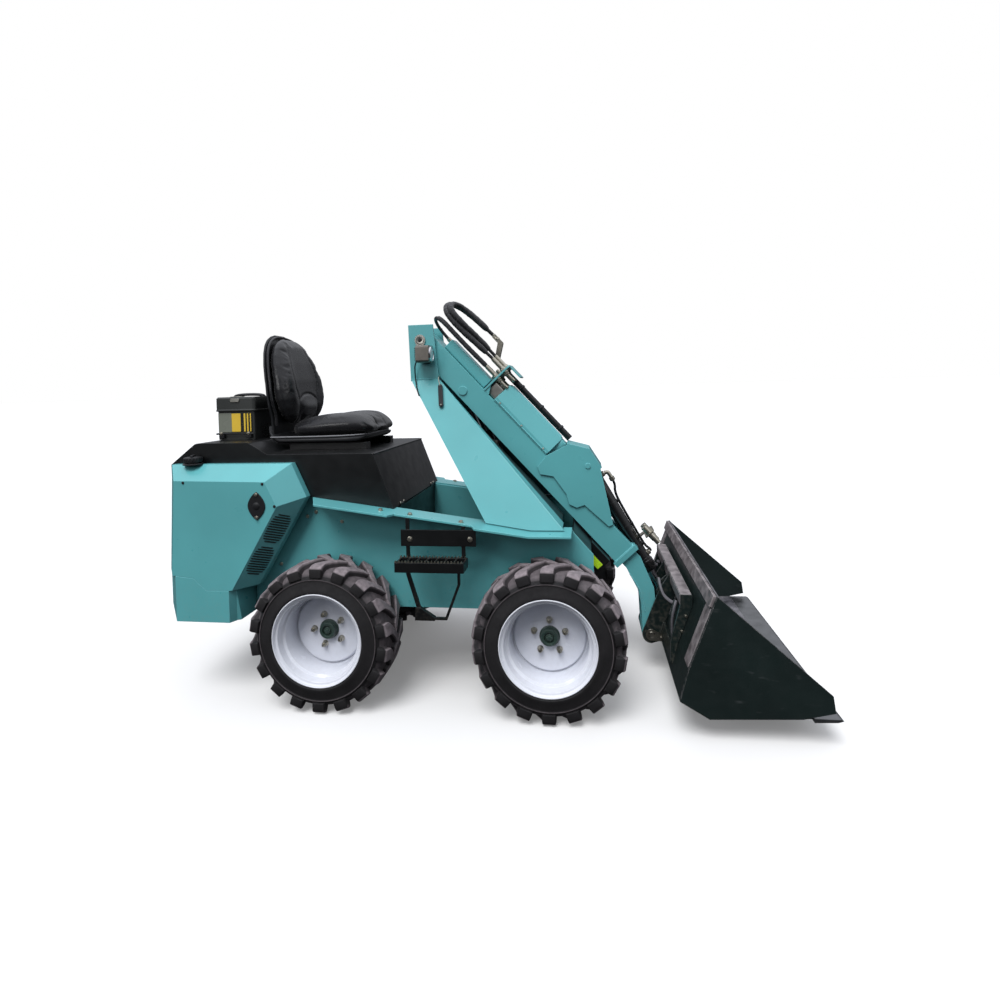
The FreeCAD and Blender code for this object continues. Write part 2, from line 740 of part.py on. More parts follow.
def boom_rest():
    """The box on the frame's nose that the lowered boom lies on."""
    top = front_plane + 2
    first = from_boom(1176, top)
    second = from_boom(1288, top)
    third = from_boom(1288, top - 70)
    back = fore(1071) + seam
    slab("boom_rest", "XZ", [[(back, high(470)), third, second, first, (back, high(578))]], -130, 130)


def steps():
    """On each side a toothed tread on two posts, a guard plate behind it and a lower rung."""
    members = []
    for word, side in SIDES:
        body = new_body("step_" + word, keep=False)
        back = sill_half - step_recess
        post_top = sill_at(mid(354), plate + seam)[1]
        right_top = sill_at(mid(580), plate + seam)[1]
        add(body, "XZ", [box(mid(320), mid(624), high(643), high(708))], *between(side, back, back + 5))
        add(body, "XZ", [box(mid(339), mid(354), high(560), post_top)], *between(side, back - 6, back))
        add(body, "XZ", [box(mid(565), mid(580), high(560), right_top)], *between(side, back - 6, back))
        # The tread is an open frame of two toothed bars and cross bars.
        for inner, outer in ((sill_half - 38, sill_half - 30), (sill_half + 32, sill_half + 40)):
            add(body, "XZ", [box(mid(315), mid(588), high(560), high(598))], *between(side, inner, outer))
        for rung in range(8):
            left = mid(315) + 38 * rung
            add(body, "XZ", [box(left, left + 7, high(560), high(596))],
                *between(side, sill_half - 46, sill_half + 36))
        add(body, "XZ", [[(mid(336), high(561)), (mid(384), high(398)), (mid(400), high(402)),
                          (mid(352), high(561))]], *between(side, sill_half - 24, sill_half - 16))
        add(body, "XZ", [[(mid(375), high(355)), (mid(456), high(355)), (mid(456), high(367)),
                          (mid(398), high(405)), (mid(380), high(405))]],
            *between(side, sill_half - 30, sill_half - 10))
        add(body, "XZ", [[(mid(550), high(561)), (mid(550), high(499)), (mid(497), high(367)),
                          (mid(450), high(367)), (mid(450), high(357)), (mid(504), high(357)),
                          (mid(560), high(497)), (mid(560), high(561))]],
            *between(side, sill_half - 25, sill_half - 15))
        members.append(body)
    group("steps", members)


def work_light():
    """The lamp on the right cheek of the tower: a square housing with a round lens."""
    body = new_body("work_light")
    y = -cap_half - seam
    add(body, "XZ", [box(fore(330), fore(352), high(1395), high(1455))], y - 12, y)
    add(body, "YZ", [box(y - 88, y - 10, high(1385), high(1460))], fore(325), fore(385))
    soften(body, "YZ", [(y - 88, high(1385)), (y - 88, high(1460))], 10)


def filler_cap():
    """The fuel cap on the right pod."""
    body = new_body("fuel_cap")
    across = -hood_half - 42
    add(body, "XY", [("ring", aft(-600), across, dim(27))], high(972) + seam, high(986))
    add(body, "XY", [("ring", aft(-600), across, dim(36))], high(984), high(1002))


def lift_bracket():
    """The two lugs and the pin that hold the lift cylinder's foot."""
    body = new_body("lift_bracket")
    x, z = lift_base
    foot = axle_height + beam_side / 2 + seam
    inner = lift_eye_width / 2 + 1
    add(body, "XZ", [[(x - 60, foot), (x + 60, foot), (x + 28, z + 12, dim(30.5)), (x - 28, z + 12)]],
        inner, inner + 12)
    add(body, "XZ", [[(x - 60, foot), (x + 60, foot), (x + 28, z + 12, dim(30.5)), (x - 28, z + 12)]],
        -inner - 12, -inner)
    add(body, "XY", [box(x - 60, x + 60, -inner - 40, inner + 40)], foot, foot + 6)
    add(body, "XZ", [("ring", x, z, cylinder_pin_radius)], -inner - 18, inner + 18)


def pivot_pin():
    """The boom's pivot pin with the teardrop keeper that is screwed to each cheek."""
    body = new_body("boom_pivot_pin")
    add(body, "XZ", [("ring", pivot_x, pivot_z, pivot_radius)], -cap_half - 8, cap_half + 8)
    x, z = pivot_x, pivot_z
    drop = [(x - 12, z + 62, dim(-14.5)), (x + 12, z + 62), (x + 30, z + 8, dim(-32)), (x - 30, z + 8)]
    for word, side in SIDES:
        add(body, "XZ", [drop], *between(side, cap_half + seam, cap_half + 6))


# --- boom --------------------------------------------------------------------------------------------------


def boom_piece(name):
    """A body that is drawn along the boom and stands at its pivot."""
    return place(new_body(name), pivot_x, pivot_z, boom_angle)


def boom_tube():
    """The boom's box section, with its pivot boss, end collar and slots for the two cylinders."""
    body = boom_piece("boom_tube")
    half = boom_height / 2
    wide = boom_width / 2
    inner = half - boom_wall
    add(body, "XZ", [[(dim(0), -half), (boom_length, -half), (boom_length, half), (dim(0), half)]],
        -wide, wide)
    add(body, "XZ", [("ring", 0, 0, half)], -wide, wide)
    add(body, "XZ", [box(boom_length - 23, boom_length, -half - 10, half + 10)], -wide - 10, wide + 10)
    cut(body, "XZ", [box(boss_radius + 20, boom_length + 1, -inner, inner)], -wide + boom_wall,
        wide - boom_wall)
    cut(body, "XZ", [("ring", 0, 0, pivot_radius + running)], -wide - 1, wide + 1)
    cut(body, "XY", [box(1150, boom_length + 1, -38, 38)], inner - 1, half + 11)
    cut(body, "XY", [box(215, 490, -26, 26)], -half - 1, -inner + 1)
    edge = lift_eye_width / 2 + 2
    for word, side in SIDES:
        add(body, "XZ", [("ring", lift_eye[0], lift_eye[1], cylinder_pin_radius + 8)],
            *between(side, edge, wide + 6))


def boom_nose():
    """The fixed gooseneck that carries the bucket: two plates and a web below."""
    body = boom_piece("boom_nose")
    end = boom_length
    reach = nose_end
    start = boom_length - 60
    nose_half = boom_width / 2 - boom_wall - seam
    outline = [(start, dim(-28)), (end + 29, dim(-28)), (end + 140, dim(-58)), (reach - 36, -nose_drop - 14),
               (reach + 34, -nose_drop + 16), (end + 283, dim(-95)), (end + 173, dim(-8)),
               (end + 38, dim(42)), (start, dim(42))]
    rounded = [point for point in outline]
    rounded[3] = (outline[3][0], outline[3][1], nose_radius + 0.3)
    for word, side in SIDES:
        add(body, "XZ", [rounded], *between(side, nose_half - nose_plate, nose_half))
    web = [(start, dim(-28)), (end + 29, dim(-28)), (end + 140, dim(-58)), (end + 230, dim(-112)),
           (end + 224, dim(-120)), (end + 136, dim(-66)), (end + 29, dim(-36)), (start, dim(-36))]
    add(body, "XZ", [web], -nose_half, nose_half)
    add(body, "XZ", [("ring", reach, -nose_drop, nose_radius)], -nose_half, nose_half)
    cut(body, "XZ", [("ring", reach, -nose_drop, bucket_pin_radius + running)], -nose_half - 5, nose_half + 5)


def boom_cover():
    """The bevelled cover over the valves and hose runs on top of the boom."""
    half = boom_height / 2 + seam
    body = boom_piece("boom_cover")
    add(body, "YZ", [[(dim(-78), half), (dim(78), half), (dim(78), half + 20), (dim(45), half + 98),
                      (dim(-45), half + 98), (dim(-78), half + 20)]], 430, 768)
    skin = sheet_metal / 2
    cut(body, "YZ", [[(-78 + skin, half - 1), (78 - skin, half - 1), (78 - skin, half + 20),
                      (45 - skin, half + 98 - skin), (-45 + skin, half + 98 - skin),
                      (-78 + skin, half + 20)]], 430 + skin, 768 - skin)


def tilt_saddle():
    """The saddle that carries the tilt cylinder's foot: two cheeks, a roof and the pin."""
    body = boom_piece("tilt_saddle")
    gap = seam
    half = boom_height / 2 + gap
    wide = boom_width / 2 + gap
    cheek = [(dim(772), half), (dim(781), dim(-11)), (dim(814), dim(-25)), (dim(861), dim(11)),
             (dim(958), dim(-2)), (dim(998), dim(-24)), (dim(1031), dim(-10)), (dim(1046), dim(24)),
             (dim(1186), dim(36)), (dim(1192), dim(56)), (dim(977), dim(186)), (dim(880), dim(204)),
             (dim(800), dim(150))]
    for word, side in SIDES:
        add(body, "XZ", [cheek], *between(side, wide, wide + 8))
        add(body, "XZ", [("ring", tilt_base[0], tilt_base[1], cylinder_pin_radius + 8)],
            *between(side, tilt_eye_width / 2 + 1, wide + 1))
    roof = [(dim(800), dim(150)), (dim(880), dim(204)), (dim(977), dim(186)), (dim(977), dim(194)),
            (dim(881), dim(212)), (dim(795), dim(157))]
    add(body, "XZ", [roof], -wide - 8, wide + 8)
    add(body, "XZ", [("ring", tilt_base[0], tilt_base[1], cylinder_pin_radius)], -wide - 12, wide + 12)


def hose_bulkhead():
    """The hooded plate across the boom that the hoses are screwed to."""
    half = boom_height / 2 + seam
    back = plate_back
    face = back + plate
    body = boom_piece("hose_bulkhead")
    add(body, "YZ", [[(dim(-80), half), (dim(80), half), (dim(80), dim(212)), (dim(-80), dim(212))]], back, face)
    soften(body, "YZ", [(80, 212), (-80, 212)], 14)
    add(body, "YZ", [box(-62, 62, 206, 212)], face, back + 76)
    for word, side in SIDES:
        add(body, "XZ", [[(face, half), (face + 26, half), (face, dim(92))]], *between(side, 70, 76))


def sleeve(name, along, across, above, start, radius):
    """A ferrule along the boom, from its start to the bulkhead, with a hexagonal end against the plate."""
    body = slab(name, "YZ", [("ring", across, above, radius)], start, along, keep=False)
    corners = []
    for step in range(6):
        turned = math.radians(60 * step)
        corners.append((across + (radius + 3) * math.cos(turned), above + (radius + 3) * math.sin(turned)))
    low, high_end = (along - 16, along) if along > start else (along, along + 16)
    add(body, "YZ", [corners], low, high_end)
    return place(body, pivot_x, pivot_z, boom_angle)


def hose_fittings():
    """Ferrules, elbows and nuts at the hoses' ends, on both sides of the bulkhead and on the boom."""
    members = []
    back = plate_back.value
    for word, (along, across, above) in (("outer", OUTER_HOSE[-1]), ("inner", INNER_HOSE[-1]),
                                         ("low", LOWER_HOSE[0])):
        members.append(sleeve("ferrule_" + word, back - seam.value, across, above, along + HOSE_END, 10.5))
    for word, (along, across, above) in (("outer", OUTER_HOSE[0]), ("inner", INNER_HOSE[0])):
        end = back - seam.value
        low = across - 9
        elbow = slab("elbow_" + word, "XZ",
                     [[(along + HOSE_END, above - 9), (along + 38, above - 9), (along + 90, dim(168)),
                       (end, dim(168)), (end, dim(186)), (along + 102, dim(186)), (along + 56, above + 9),
                       (along + HOSE_END, above + 9)]], low, low + 18, keep=False)
        soften(elbow, "XZ", [(along + 56, above + 9), (along + 38, above - 9), (along + 90, 168),
                             (along + 102, 186)], 6)
        members.append(place(elbow, pivot_x, pivot_z, boom_angle))
    face = back + plate.value + seam.value
    for word, across, above in (("a", -52, 178), ("b", -52, 132), ("c", -14, 178), ("d", -14, 132),
                                ("e", 38, 132)):
        members.append(sleeve("nut_" + word, face, across, above, face + 44, 9))
    along, across, above = LOWER_HOSE[-1]
    half = boom_height.value / 2 + seam.value
    foot = slab("elbow_foot", "XZ", [box(along + 26, along + 52, half, above + 13)], across - 13, across + 13,
                keep=False)
    add(foot, "YZ", [("ring", across, above, 10.5)], along + HOSE_END, along + 28)
    members.append(place(foot, pivot_x, pivot_z, boom_angle))
    group("hose_fittings", members)


def rounded_way(points):
    """Straight runs with an arc at each corner, of 0.45 of the shorter run over the tangent of half the turn."""
    edges = []
    radii = []
    here = points[0]
    for before, corner, after in zip(points, points[1:], points[2:]):
        back = before - corner
        ahead = after - corner
        half_turn = (math.pi - back.getAngle(ahead)) / 2
        reach = 0.45 * min(back.Length, ahead.Length)
        radius = reach / math.tan(half_turn)
        back.normalize()
        ahead.normalize()
        inward = (back + ahead).normalize()
        middle = corner + inward * (radius / math.cos(half_turn) - radius)
        start = corner + back * reach
        edges.append(Part.LineSegment(here, start).toShape())
        here = corner + ahead * reach
        edges.append(Part.Arc(start, middle, here).toShape())
        radii.append(radius)
    edges.append(Part.LineSegment(here, points[-1]).toShape())
    return Part.Wire(edges), radii


def hose(name, points):
    """A hose through the points, each given along the boom, across it and above its centre line."""
    way = []
    for along, across, above in points:
        x, z = from_boom(along, above)
        way.append(FreeCAD.Vector(x.value, across, z.value))
    path, radii = rounded_way(way)
    radius = hose_diameter.value / 2
    ring = Part.Wire([Part.makeCircle(radius, way[0], way[1] - way[0])])
    tube = path.makePipeShell([ring], True, False)
    expected = math.pi * radius * radius * path.Length
    if abs(tube.Volume - expected) > 0.01 * expected:
        raise RuntimeError(name + " is not a plain tube")
    feature = doc.addObject("Part::Feature", name)
    feature.Label = name
    feature.Shape = tube
    NODES[name] = feature
    print("%s is %.0f long, bends %s" % (name, path.Length, ", ".join("%.0f" % bend for bend in radii)))


def hoses():
    """The three hoses that loop back over the boom's pivot."""
    hose("hose_outer", OUTER_HOSE)
    hose("hose_inner", INNER_HOSE)
    hose("hose_lower", LOWER_HOSE)


def feed_pipe():
    """The black oil pipe from the bulkhead to the saddle, beside the cover."""
    body = boom_piece("feed_pipe")
    start = plate_back + plate + seam
    add(body, "YZ", [("ring", 46, 171, pipe_radius)], start, 794.6)
    cut(body, "YZ", [("ring", 46, 171, pipe_radius - 3)], start + 20, 796)


def aux_couplers():
    """The bracket on the boom's end collar, and two quick couplers over the tilt cylinder for an attachment."""
    body = boom_piece("aux_couplers")
    collar = boom_height / 2 + 10 + seam
    back = boom_length - 6
    add(body, "XZ", [box(back - 14, back + 6, collar, collar + 6)], 42, 80)
    add(body, "YZ", [[(dim(42), collar), (dim(80), collar), (dim(80), dim(96)), (dim(50), dim(164)),
                      (dim(-42), dim(164)), (dim(-42), dim(116)), (dim(42), dim(116))]], back, back + 6)
    soften(body, "YZ", [(50, 164), (-42, 164), (-42, 116)], 8)
    for across in (-20, 26):
        add(body, "YZ", [("ring", across, 140, 14.5)], back - 34, back + 36)
        add(body, "YZ", [("ring", across, 140, nozzle_radius)], back + 35, back + 60)


def bucket_pins():
    """The pin at the bucket's hinge with its teardrop keepers."""
    body = place(new_body("bucket_pin"), *bucket_pin)
    add(body, "XZ", [("ring", 0, 0, bucket_pin_radius)], -102, 102)
    drop = [(dim(-9), dim(44), dim(-11)), (dim(9), dim(44)), (dim(22), dim(6), dim(-24)), (dim(-22), dim(6))]
    for word, side in SIDES:
        add(body, "XZ", [drop], *between(side, 94 + seam, 100))


# --- cylinders ---------------------------------------------------------------------------------------------


def cylinder(word, foot, angle, reach, barrel_length, rod_length, radius, rod_radius, eye_radius, eye_width):
    """A hydraulic cylinder between two pins: a barrel at the foot and a rod with its eye.

    It is drawn upright and turned by its angle from the vertical.
    """
    barrel = place(new_body(word + "_barrel"), foot[0], foot[1], angle)
    bore = rod_radius + running
    inner_end = reach - rod_length - 4
    start = eye_radius + 7
    spin(barrel, [(dim(0), start), (radius - 3, start), (radius, start + 3),
                  (radius, barrel_length - 46), (radius + 4, barrel_length - 46),
                  (radius + 4, barrel_length - 4), (radius, barrel_length), (bore, barrel_length),
                  (bore, inner_end - 270), (dim(0), inner_end - 270)])
    add(barrel, "XZ", [("ring", 0, 0, eye_radius)], -eye_width / 2, eye_width / 2)
    add(barrel, "XZ", [box(-eye_radius * 0.7, eye_radius * 0.7, 0, start + 2)], -eye_width / 2, eye_width / 2)
    cut(barrel, "XZ", [("ring", 0, 0, cylinder_pin_radius + running)], -eye_width, eye_width)
    rod = place(new_body(word + "_rod"), foot[0], foot[1], angle)
    spin(rod, [(dim(0), reach - rod_length), (rod_radius, reach - rod_length),
               (rod_radius, reach - eye_radius + 8), (dim(0), reach - eye_radius + 8)])
    add(rod, "XZ", [("ring", 0, reach, eye_radius)], -eye_width / 2, eye_width / 2)
    cut(rod, "XZ", [("ring", 0, reach, cylinder_pin_radius + running)], -eye_width, eye_width)


def cylinders():
    """The lift cylinder in the tower and the tilt cylinder along the boom."""
    eye = from_boom(*lift_eye)
    run = eye[0] - lift_base[0]
    rise = eye[1] - lift_base[1]
    cylinder("lift", lift_base, heading(run, rise), root(run * run + rise * rise), lift_barrel_length,
             lift_rod_length, lift_radius, lift_rod_radius, lift_eye_radius, lift_eye_width)
    foot = from_boom(*tilt_base)
    run = bucket_pin[0] + tilt_eye[0] - foot[0]
    rise = bucket_pin[1] + tilt_eye[1] - foot[1]
    cylinder("tilt", foot, heading(run, rise), root(run * run + rise * rise), tilt_barrel_length,
             tilt_rod_length, tilt_radius, tilt_rod_radius, tilt_eye_radius, tilt_eye_width)


# --- bucket ------------------------------------------------------------------------------------------------


def bucket_body(name):
    """A body drawn about the bucket's pin."""
    return place(new_body(name), *bucket_pin)


def bucket():
    """The bucket: a bent shell between two side plates, stiffened along its top."""
    body = bucket_body("bucket")
    back_top = (dim(176), dim(346))
    heel = (dim(141), dim(-86))
    hip = (dim(42), dim(-28))
    waist = (dim(74), dim(86))
    lip = (dim(484), dim(-68))
    side_plate = [back_top, waist, hip, heel, (dim(448), dim(-70)), (dim(554), dim(-44)),
                  (dim(547), dim(14))]
    for word, side in SIDES:
        add(body, "XZ", [side_plate], *between(side, bucket_half - bucket_side, bucket_half))
    t = bucket_shell
    shell = [back_top, waist, hip, heel, lip, (dim(484), dim(-68) + t), (dim(143), dim(-86) + t + 1),
             (hip[0] + t + 1, hip[1] + 3), (waist[0] + t, waist[1] - 1), (back_top[0] + t, back_top[1] - 2)]
    add(body, "XZ", [shell], -bucket_half + bucket_side / 2, bucket_half - bucket_side / 2)
    rail = [(dim(158), dim(303)), (dim(192), dim(303)), (dim(192), dim(322)), (dim(166), dim(322))]
    add(body, "XZ", [rail], -bucket_half + 1, bucket_half - 1)


def cutting_edge():
    """The thick bolt-on blade along the floor's front, ground to a lip."""
    body = bucket_body("cutting_edge")
    add(body, "XZ", [[(dim(484.5), dim(-79)), (dim(562), dim(-75)), (dim(579), dim(-69)),
                      (dim(570), dim(-64)), (dim(484.5), dim(-64.5))]], -bucket_half, bucket_half)


def coupler():
    """The quick-attach frame on the bucket's back, with the lugs that the pin and tilt rod hold."""
    body = bucket_body("coupler")
    wide = coupler_half
    add(body, "XZ", [box(84, 128, 229, 273)], -wide, wide)
    add(body, "XZ", [[(dim(41), dim(14)), (dim(50), dim(2)), (dim(63), dim(50)), (dim(52), dim(56))]],
        -wide, wide)
    ribs = [(dim(0), dim(-38)), (dim(38), dim(-26)), (dim(72), dim(86)), (dim(128), dim(229)),
            (dim(84), dim(273)), (dim(36), dim(195)), (dim(-36), dim(14), dim(38.6))]
    for word, side in SIDES:
        add(body, "XZ", [ribs], *between(side, 84, 94))
        uprights = [(dim(41), dim(10)), (dim(51), dim(6)), (dim(72), dim(86)), (dim(128), dim(229)),
                    (dim(128), dim(250)), (dim(88), dim(250)), (dim(44), dim(90))]
        add(body, "XZ", [uprights], *between(side, wide - 12, wide))
        x, z = tilt_eye
        lug = [(x - 24, z + 14), (x + 22, z - 12), (dim(120), dim(235)), (dim(92), dim(235))]
        inner = tilt_eye_width / 2 + 2
        add(body, "XZ", [("ring", x, z, 28)], *between(side, inner, inner + 10))
        add(body, "XZ", [lug], *between(side, inner, inner + 10))
    cut(body, "XZ", [("ring", 0, 0, bucket_pin_radius + running)], -100, 100)


# --- wheels ------------------------------------------------------------------------------------------------


def wheels():
    """Four wheels: a stretched tyre, a steel rim with a dished disc, and the hub that drives it."""
    for end, x in (("front", rear_axle + wheelbase), ("rear", rear_axle)):
        for word, side in SIDES:
            name = end + "_" + word
            gauge = wall_half + tyre_gap
            far = gauge + rim_width

            def across(value):
                return value * side
            tyre = new_body("tyre_" + name)
            top = axle_height
            bead = bead_radius + seam
            outline = [(across(gauge + 5), bead), (across(gauge + 4), rim_radius),
                       (across(gauge), top - 50), (across(gauge + 8), top - 14),
                       (across(gauge + 24), top - 2), (across(gauge + 70), top),
                       (across(gauge + tyre_width - 70), top), (across(gauge + tyre_width - 24), top - 2),
                       (across(gauge + tyre_width - 8), top - 14), (across(gauge + tyre_width), top - 50),
                       (across(far - 5), rim_radius), (across(far - 5), bead)]
            turn(tyre, outline)
            place(tyre, x, axle_height)
            rim = new_body("rim_" + name)
            wall = bead_radius - rim_wall
            turn(rim, [(across(gauge), wall), (across(gauge), rim_radius), (across(gauge + 4), rim_radius),
                       (across(gauge + 4.5), bead_radius), (across(far - 4.5), bead_radius),
                       (across(far - 4), rim_radius), (across(far), rim_radius), (across(far), wall)])
            back = disc_face - disc_thick
            turn(rim, [(across(back), pilot_radius + running), (across(back), dim(104)),
                       (across(back - 14), dim(130)), (across(back - 14), wall + 1),
                       (across(back - 6), wall + 1), (across(back - 6), dim(134)),
                       (across(disc_face), dim(108)), (across(disc_face), pilot_radius + running)])
            first = 90 if end == "front" else 180
            holes = []
            for bolt in range(5):
                spoke = math.radians(first + 72 * bolt)
                holes.append(("ring", bolt_circle / 2 * math.cos(spoke), bolt_circle / 2 * math.sin(spoke),
                              bolt_hole))
            cut(rim, "XZ", holes, *between(side, back - 1, disc_face + 1))
            place(rim, x, axle_height)
            hub = new_body("hub_" + name)
            face = wall_half + motor_length + 0.5
            turn(hub, [(across(face), dim(0)), (across(face), hub_radius), (across(back), hub_radius),
                       (across(back), pilot_radius), (across(disc_face + 12), pilot_radius),
                       (across(disc_face + 16), pilot_radius - 4), (across(disc_face + 16), dim(0))])
            place(hub, x, axle_height)


# --- the whole machine -------------------------------------------------------------------------------------

side_walls()
sills()
floor_panels()
axle("rear", rear_axle)
axle("front", front_axle)
engine()
counterweight()
rear_pods()
hood()
rear_door()
hood_front()
foot_floor()
battery()
seat()
tower()
tower_panels()
boom_rest()
steps()
work_light()
filler_cap()
lift_bracket()
pivot_pin()
boom_tube()
boom_nose()
boom_cover()
tilt_saddle()
hose_bulkhead()
hose_fittings()
hoses()
feed_pipe()
aux_couplers()
bucket_pins()
cylinders()
bucket()
cutting_edge()
coupler()
wheels()
doc.recompute()

for item in doc.Objects:
    if "Invalid" in item.State or "Error" in item.State:
        raise RuntimeError("%s (%s) failed: %s" % (item.Label, item.TypeId, item.State))
for name, item in NODES.items():
    if item.Shape.isNull() or not item.Shape.isValid() or item.Shape.Volume < 1:
        raise RuntimeError(name + " has no sound shape")

os.makedirs("parts", exist_ok=True)
for name, item in NODES.items():
    item.Shape.exportStep("parts/%s.step" % name)
print("%d sub-parts" % len(NODES))
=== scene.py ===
"""Mini wheel loader: finishes, tyres, seat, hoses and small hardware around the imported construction.

Shapes are worked out in millimetres in the machine's own frame: +X forward, +Y to its left, +Z up, with the
ground at zero. They become metres when a piece is made.
"""
import json
import math

import bmesh
import bpy
import numpy as np
from mathutils import Matrix, Vector


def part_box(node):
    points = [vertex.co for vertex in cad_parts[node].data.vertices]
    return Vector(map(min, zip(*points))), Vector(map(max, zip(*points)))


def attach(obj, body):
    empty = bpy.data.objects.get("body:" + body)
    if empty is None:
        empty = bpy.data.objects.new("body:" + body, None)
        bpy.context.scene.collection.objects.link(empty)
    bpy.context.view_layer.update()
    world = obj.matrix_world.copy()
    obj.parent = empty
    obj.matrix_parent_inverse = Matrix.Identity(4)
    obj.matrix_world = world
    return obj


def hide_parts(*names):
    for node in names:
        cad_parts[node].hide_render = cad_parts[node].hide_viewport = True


bl_info = {
    "name": "Mini wheel loader",
    "version": (1, 0, 0),
    "blender": (4, 5, 0),
    "location": "View3D > Sidebar > Loader",
    "description": "Finishes and small pieces of a mini wheel loader",
    "category": "Object",
}

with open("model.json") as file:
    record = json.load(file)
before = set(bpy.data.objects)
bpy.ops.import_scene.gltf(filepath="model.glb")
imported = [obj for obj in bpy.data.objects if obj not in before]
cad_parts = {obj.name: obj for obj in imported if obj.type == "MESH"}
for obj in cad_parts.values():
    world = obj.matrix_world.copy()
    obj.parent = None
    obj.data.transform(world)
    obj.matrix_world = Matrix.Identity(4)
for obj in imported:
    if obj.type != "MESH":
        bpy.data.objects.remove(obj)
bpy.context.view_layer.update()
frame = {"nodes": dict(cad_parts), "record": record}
MM = 0.001
FORWARD, BACK, LEFT, RIGHT, UP, DOWN = ((1, 0, 0), (-1, 0, 0), (0, 1, 0), (0, -1, 0), (0, 0, 1), (0, 0, -1))


def linear(code):
    """An sRGB hex colour as linear red, green and blue."""
    channels = np.array([int(code[at:at + 2], 16) for at in (0, 2, 4)]) / 255
    return tuple(np.where(channels <= 0.04045, channels / 12.92, ((channels + 0.055) / 1.055) ** 2.4))


# --- what a user may change --------------------------------------------------------------------------------

def paint(name, description, code):
    """A colour property with its default given in sRGB hex."""
    return bpy.props.FloatVectorProperty(name=name, description=description, subtype="COLOR", size=3, min=0,
                                         max=1, default=linear(code))


def length(name, description, value):
    """A size property in millimetres."""
    return bpy.props.FloatProperty(name=name, description=description, default=value, min=0.1, soft_max=2000)


class LoaderColours(bpy.types.PropertyGroup):
    """The colours of the machine's finishes."""

    teal: paint("Teal enamel", "Enamel of the frame, pods, tower and boom", "569DA1")
    black: paint("Black enamel", "Enamel of the bonnet, steps and cylinders", "08090A")
    bucket: paint("Bucket enamel", "Primer-black enamel of the bucket", "131D1C")
    wheel: paint("Wheel enamel", "White powder coat of the rims", "CACDD6")
    rubber: paint("Tyre rubber", "Carbon-black rubber in the tyre's grooves", "151415")
    # The lugs' tops take this colour partly as scuff and partly as a painted highlight from above.
    tread: paint("Rubbed rubber", "Scuffed rubber on the lugs' tops", "857C80")
    vinyl: paint("Seat vinyl", "PVC coated cloth of the seat", "0B0B0D")
    reflector: paint("Reflector", "Lime acrylic reflectors", "B9E534")
    label: paint("Battery band", "Yellow plastic bands on the battery", "C9A93A")


class LoaderSizes(bpy.types.PropertyGroup):
    """The sizes of the small pieces, in millimetres."""

    lugs: bpy.props.IntProperty(name="Lugs", description="Tread lugs on each side of a tyre", default=18, min=8)
    lug_width: length("Lug width", "Width of a lug along the tyre's rim", 52)
    lug_lean: length("Lug lean", "How far a lug's inner end leads its shoulder", 66)
    wheel_nut: length("Wheel nut", "Across the flats of a wheel nut", 19)
    frame_bolt: length("Frame bolt", "Across the flats of a frame bolt", 15)
    screw: length("Screw", "Head diameter of a cover's screw", 11)
    weld: length("Weld bead", "Width of a fillet weld", 7)
    strip_pitch: length("Strip screw pitch", "Distance between the screws of the tower's strips", 140)


class LoaderStage(bpy.types.PropertyGroup):
    """The studio around the machine."""

    lens: bpy.props.FloatProperty(name="Lens", description="Focal length in millimetres", default=21.006)
    shift: bpy.props.FloatProperty(name="Vertical shift", description="Lens shift in frame widths",
                                   default=-0.10)
    sky: bpy.props.FloatProperty(name="Sky", description="Strength of the soft dome overhead", default=1.1)
    top: bpy.props.FloatProperty(name="Top light", description="Strength of the overhead light", default=3.2)
    key: bpy.props.FloatProperty(name="Key light", description="Power of the front light in watts",
                                 default=25, subtype="POWER")


# --- shapes ------------------------------------------------------------------------------------------------

def around(count):
    """Evenly spaced angles over a full turn."""
    return np.arange(count) * (2 * math.pi / count)


def skin(rings, wear_and_painted_light=0.0, closed=False):
    """A closed skin over rings, an array of rows of points. Neighbouring points are joined by quads, and each
    ring is closed on itself. The last ring is joined to the first, or else both ends are drawn together at the
    middle of their ring. wear_and_painted_light is a number for each point, or for each point of a ring, that
    the material reads: scuff, and painted highlight or shade."""
    rings = np.asarray(rings, float)
    wear_and_painted_light = np.broadcast_to(np.asarray(wear_and_painted_light, float), rings.shape[:2])
    if not closed:
        ends = [np.broadcast_to(rings[at].mean(0), rings[at].shape)[None] for at in (0, -1)]
        rings = np.concatenate([ends[0], rings, ends[1]])
        wear_and_painted_light = np.concatenate([wear_and_painted_light[:1], wear_and_painted_light, wear_and_painted_light[-1:]])
    rows, count = rings.shape[:2]
    row = np.arange(rows if closed else rows - 1)[:, None]
    column = np.arange(count)
    beside = (column + 1) % count
    below = (row + 1) % rows
    quads = np.stack([row * count + column, row * count + beside, below * count + beside,
                      below * count + column], -1).reshape(-1, 4)
    return rings.reshape(-1, 3), quads, wear_and_painted_light.reshape(-1)


def axes(direction, upward=(0, 0, 1)):
    """A turned frame as rows: its x, its y, and its z along the direction, with x near square to upward."""
    third = np.asarray(direction, float)
    third = third / np.linalg.norm(third)
    first = np.cross(np.asarray(upward, float), third)
    if np.linalg.norm(first) < 1e-6:
        first = np.cross((0, 1, 0), third)
    first = first / np.linalg.norm(first)
    return np.stack([first, np.cross(third, first), third])


def placed(part, origin, direction=(0, 0, 1), upward=(0, 0, 1)):
    """A part drawn along its own z axis, turned to a direction and moved to a point."""
    points, quads, wear_and_painted_light = part
    return points @ axes(direction, upward) + np.asarray(origin, float), quads, wear_and_painted_light


def copies(part, origins, directions, upward=(0, 0, 1)):
    """One copy of a part at each point, each along its own direction."""
    directions = np.broadcast_to(np.asarray(directions, float), np.shape(origins))
    return [placed(part, origin, way, upward) for origin, way in zip(origins, directions)]


def turned(profile, sides=24):
    """Rows of a radius and a height, turned about z. A radius is one number, or a number for each angle."""
    turn = around(sides)
    return skin([np.stack([radius * np.cos(turn), radius * np.sin(turn), np.full(sides, float(up))], -1)
                 for radius, up in profile])


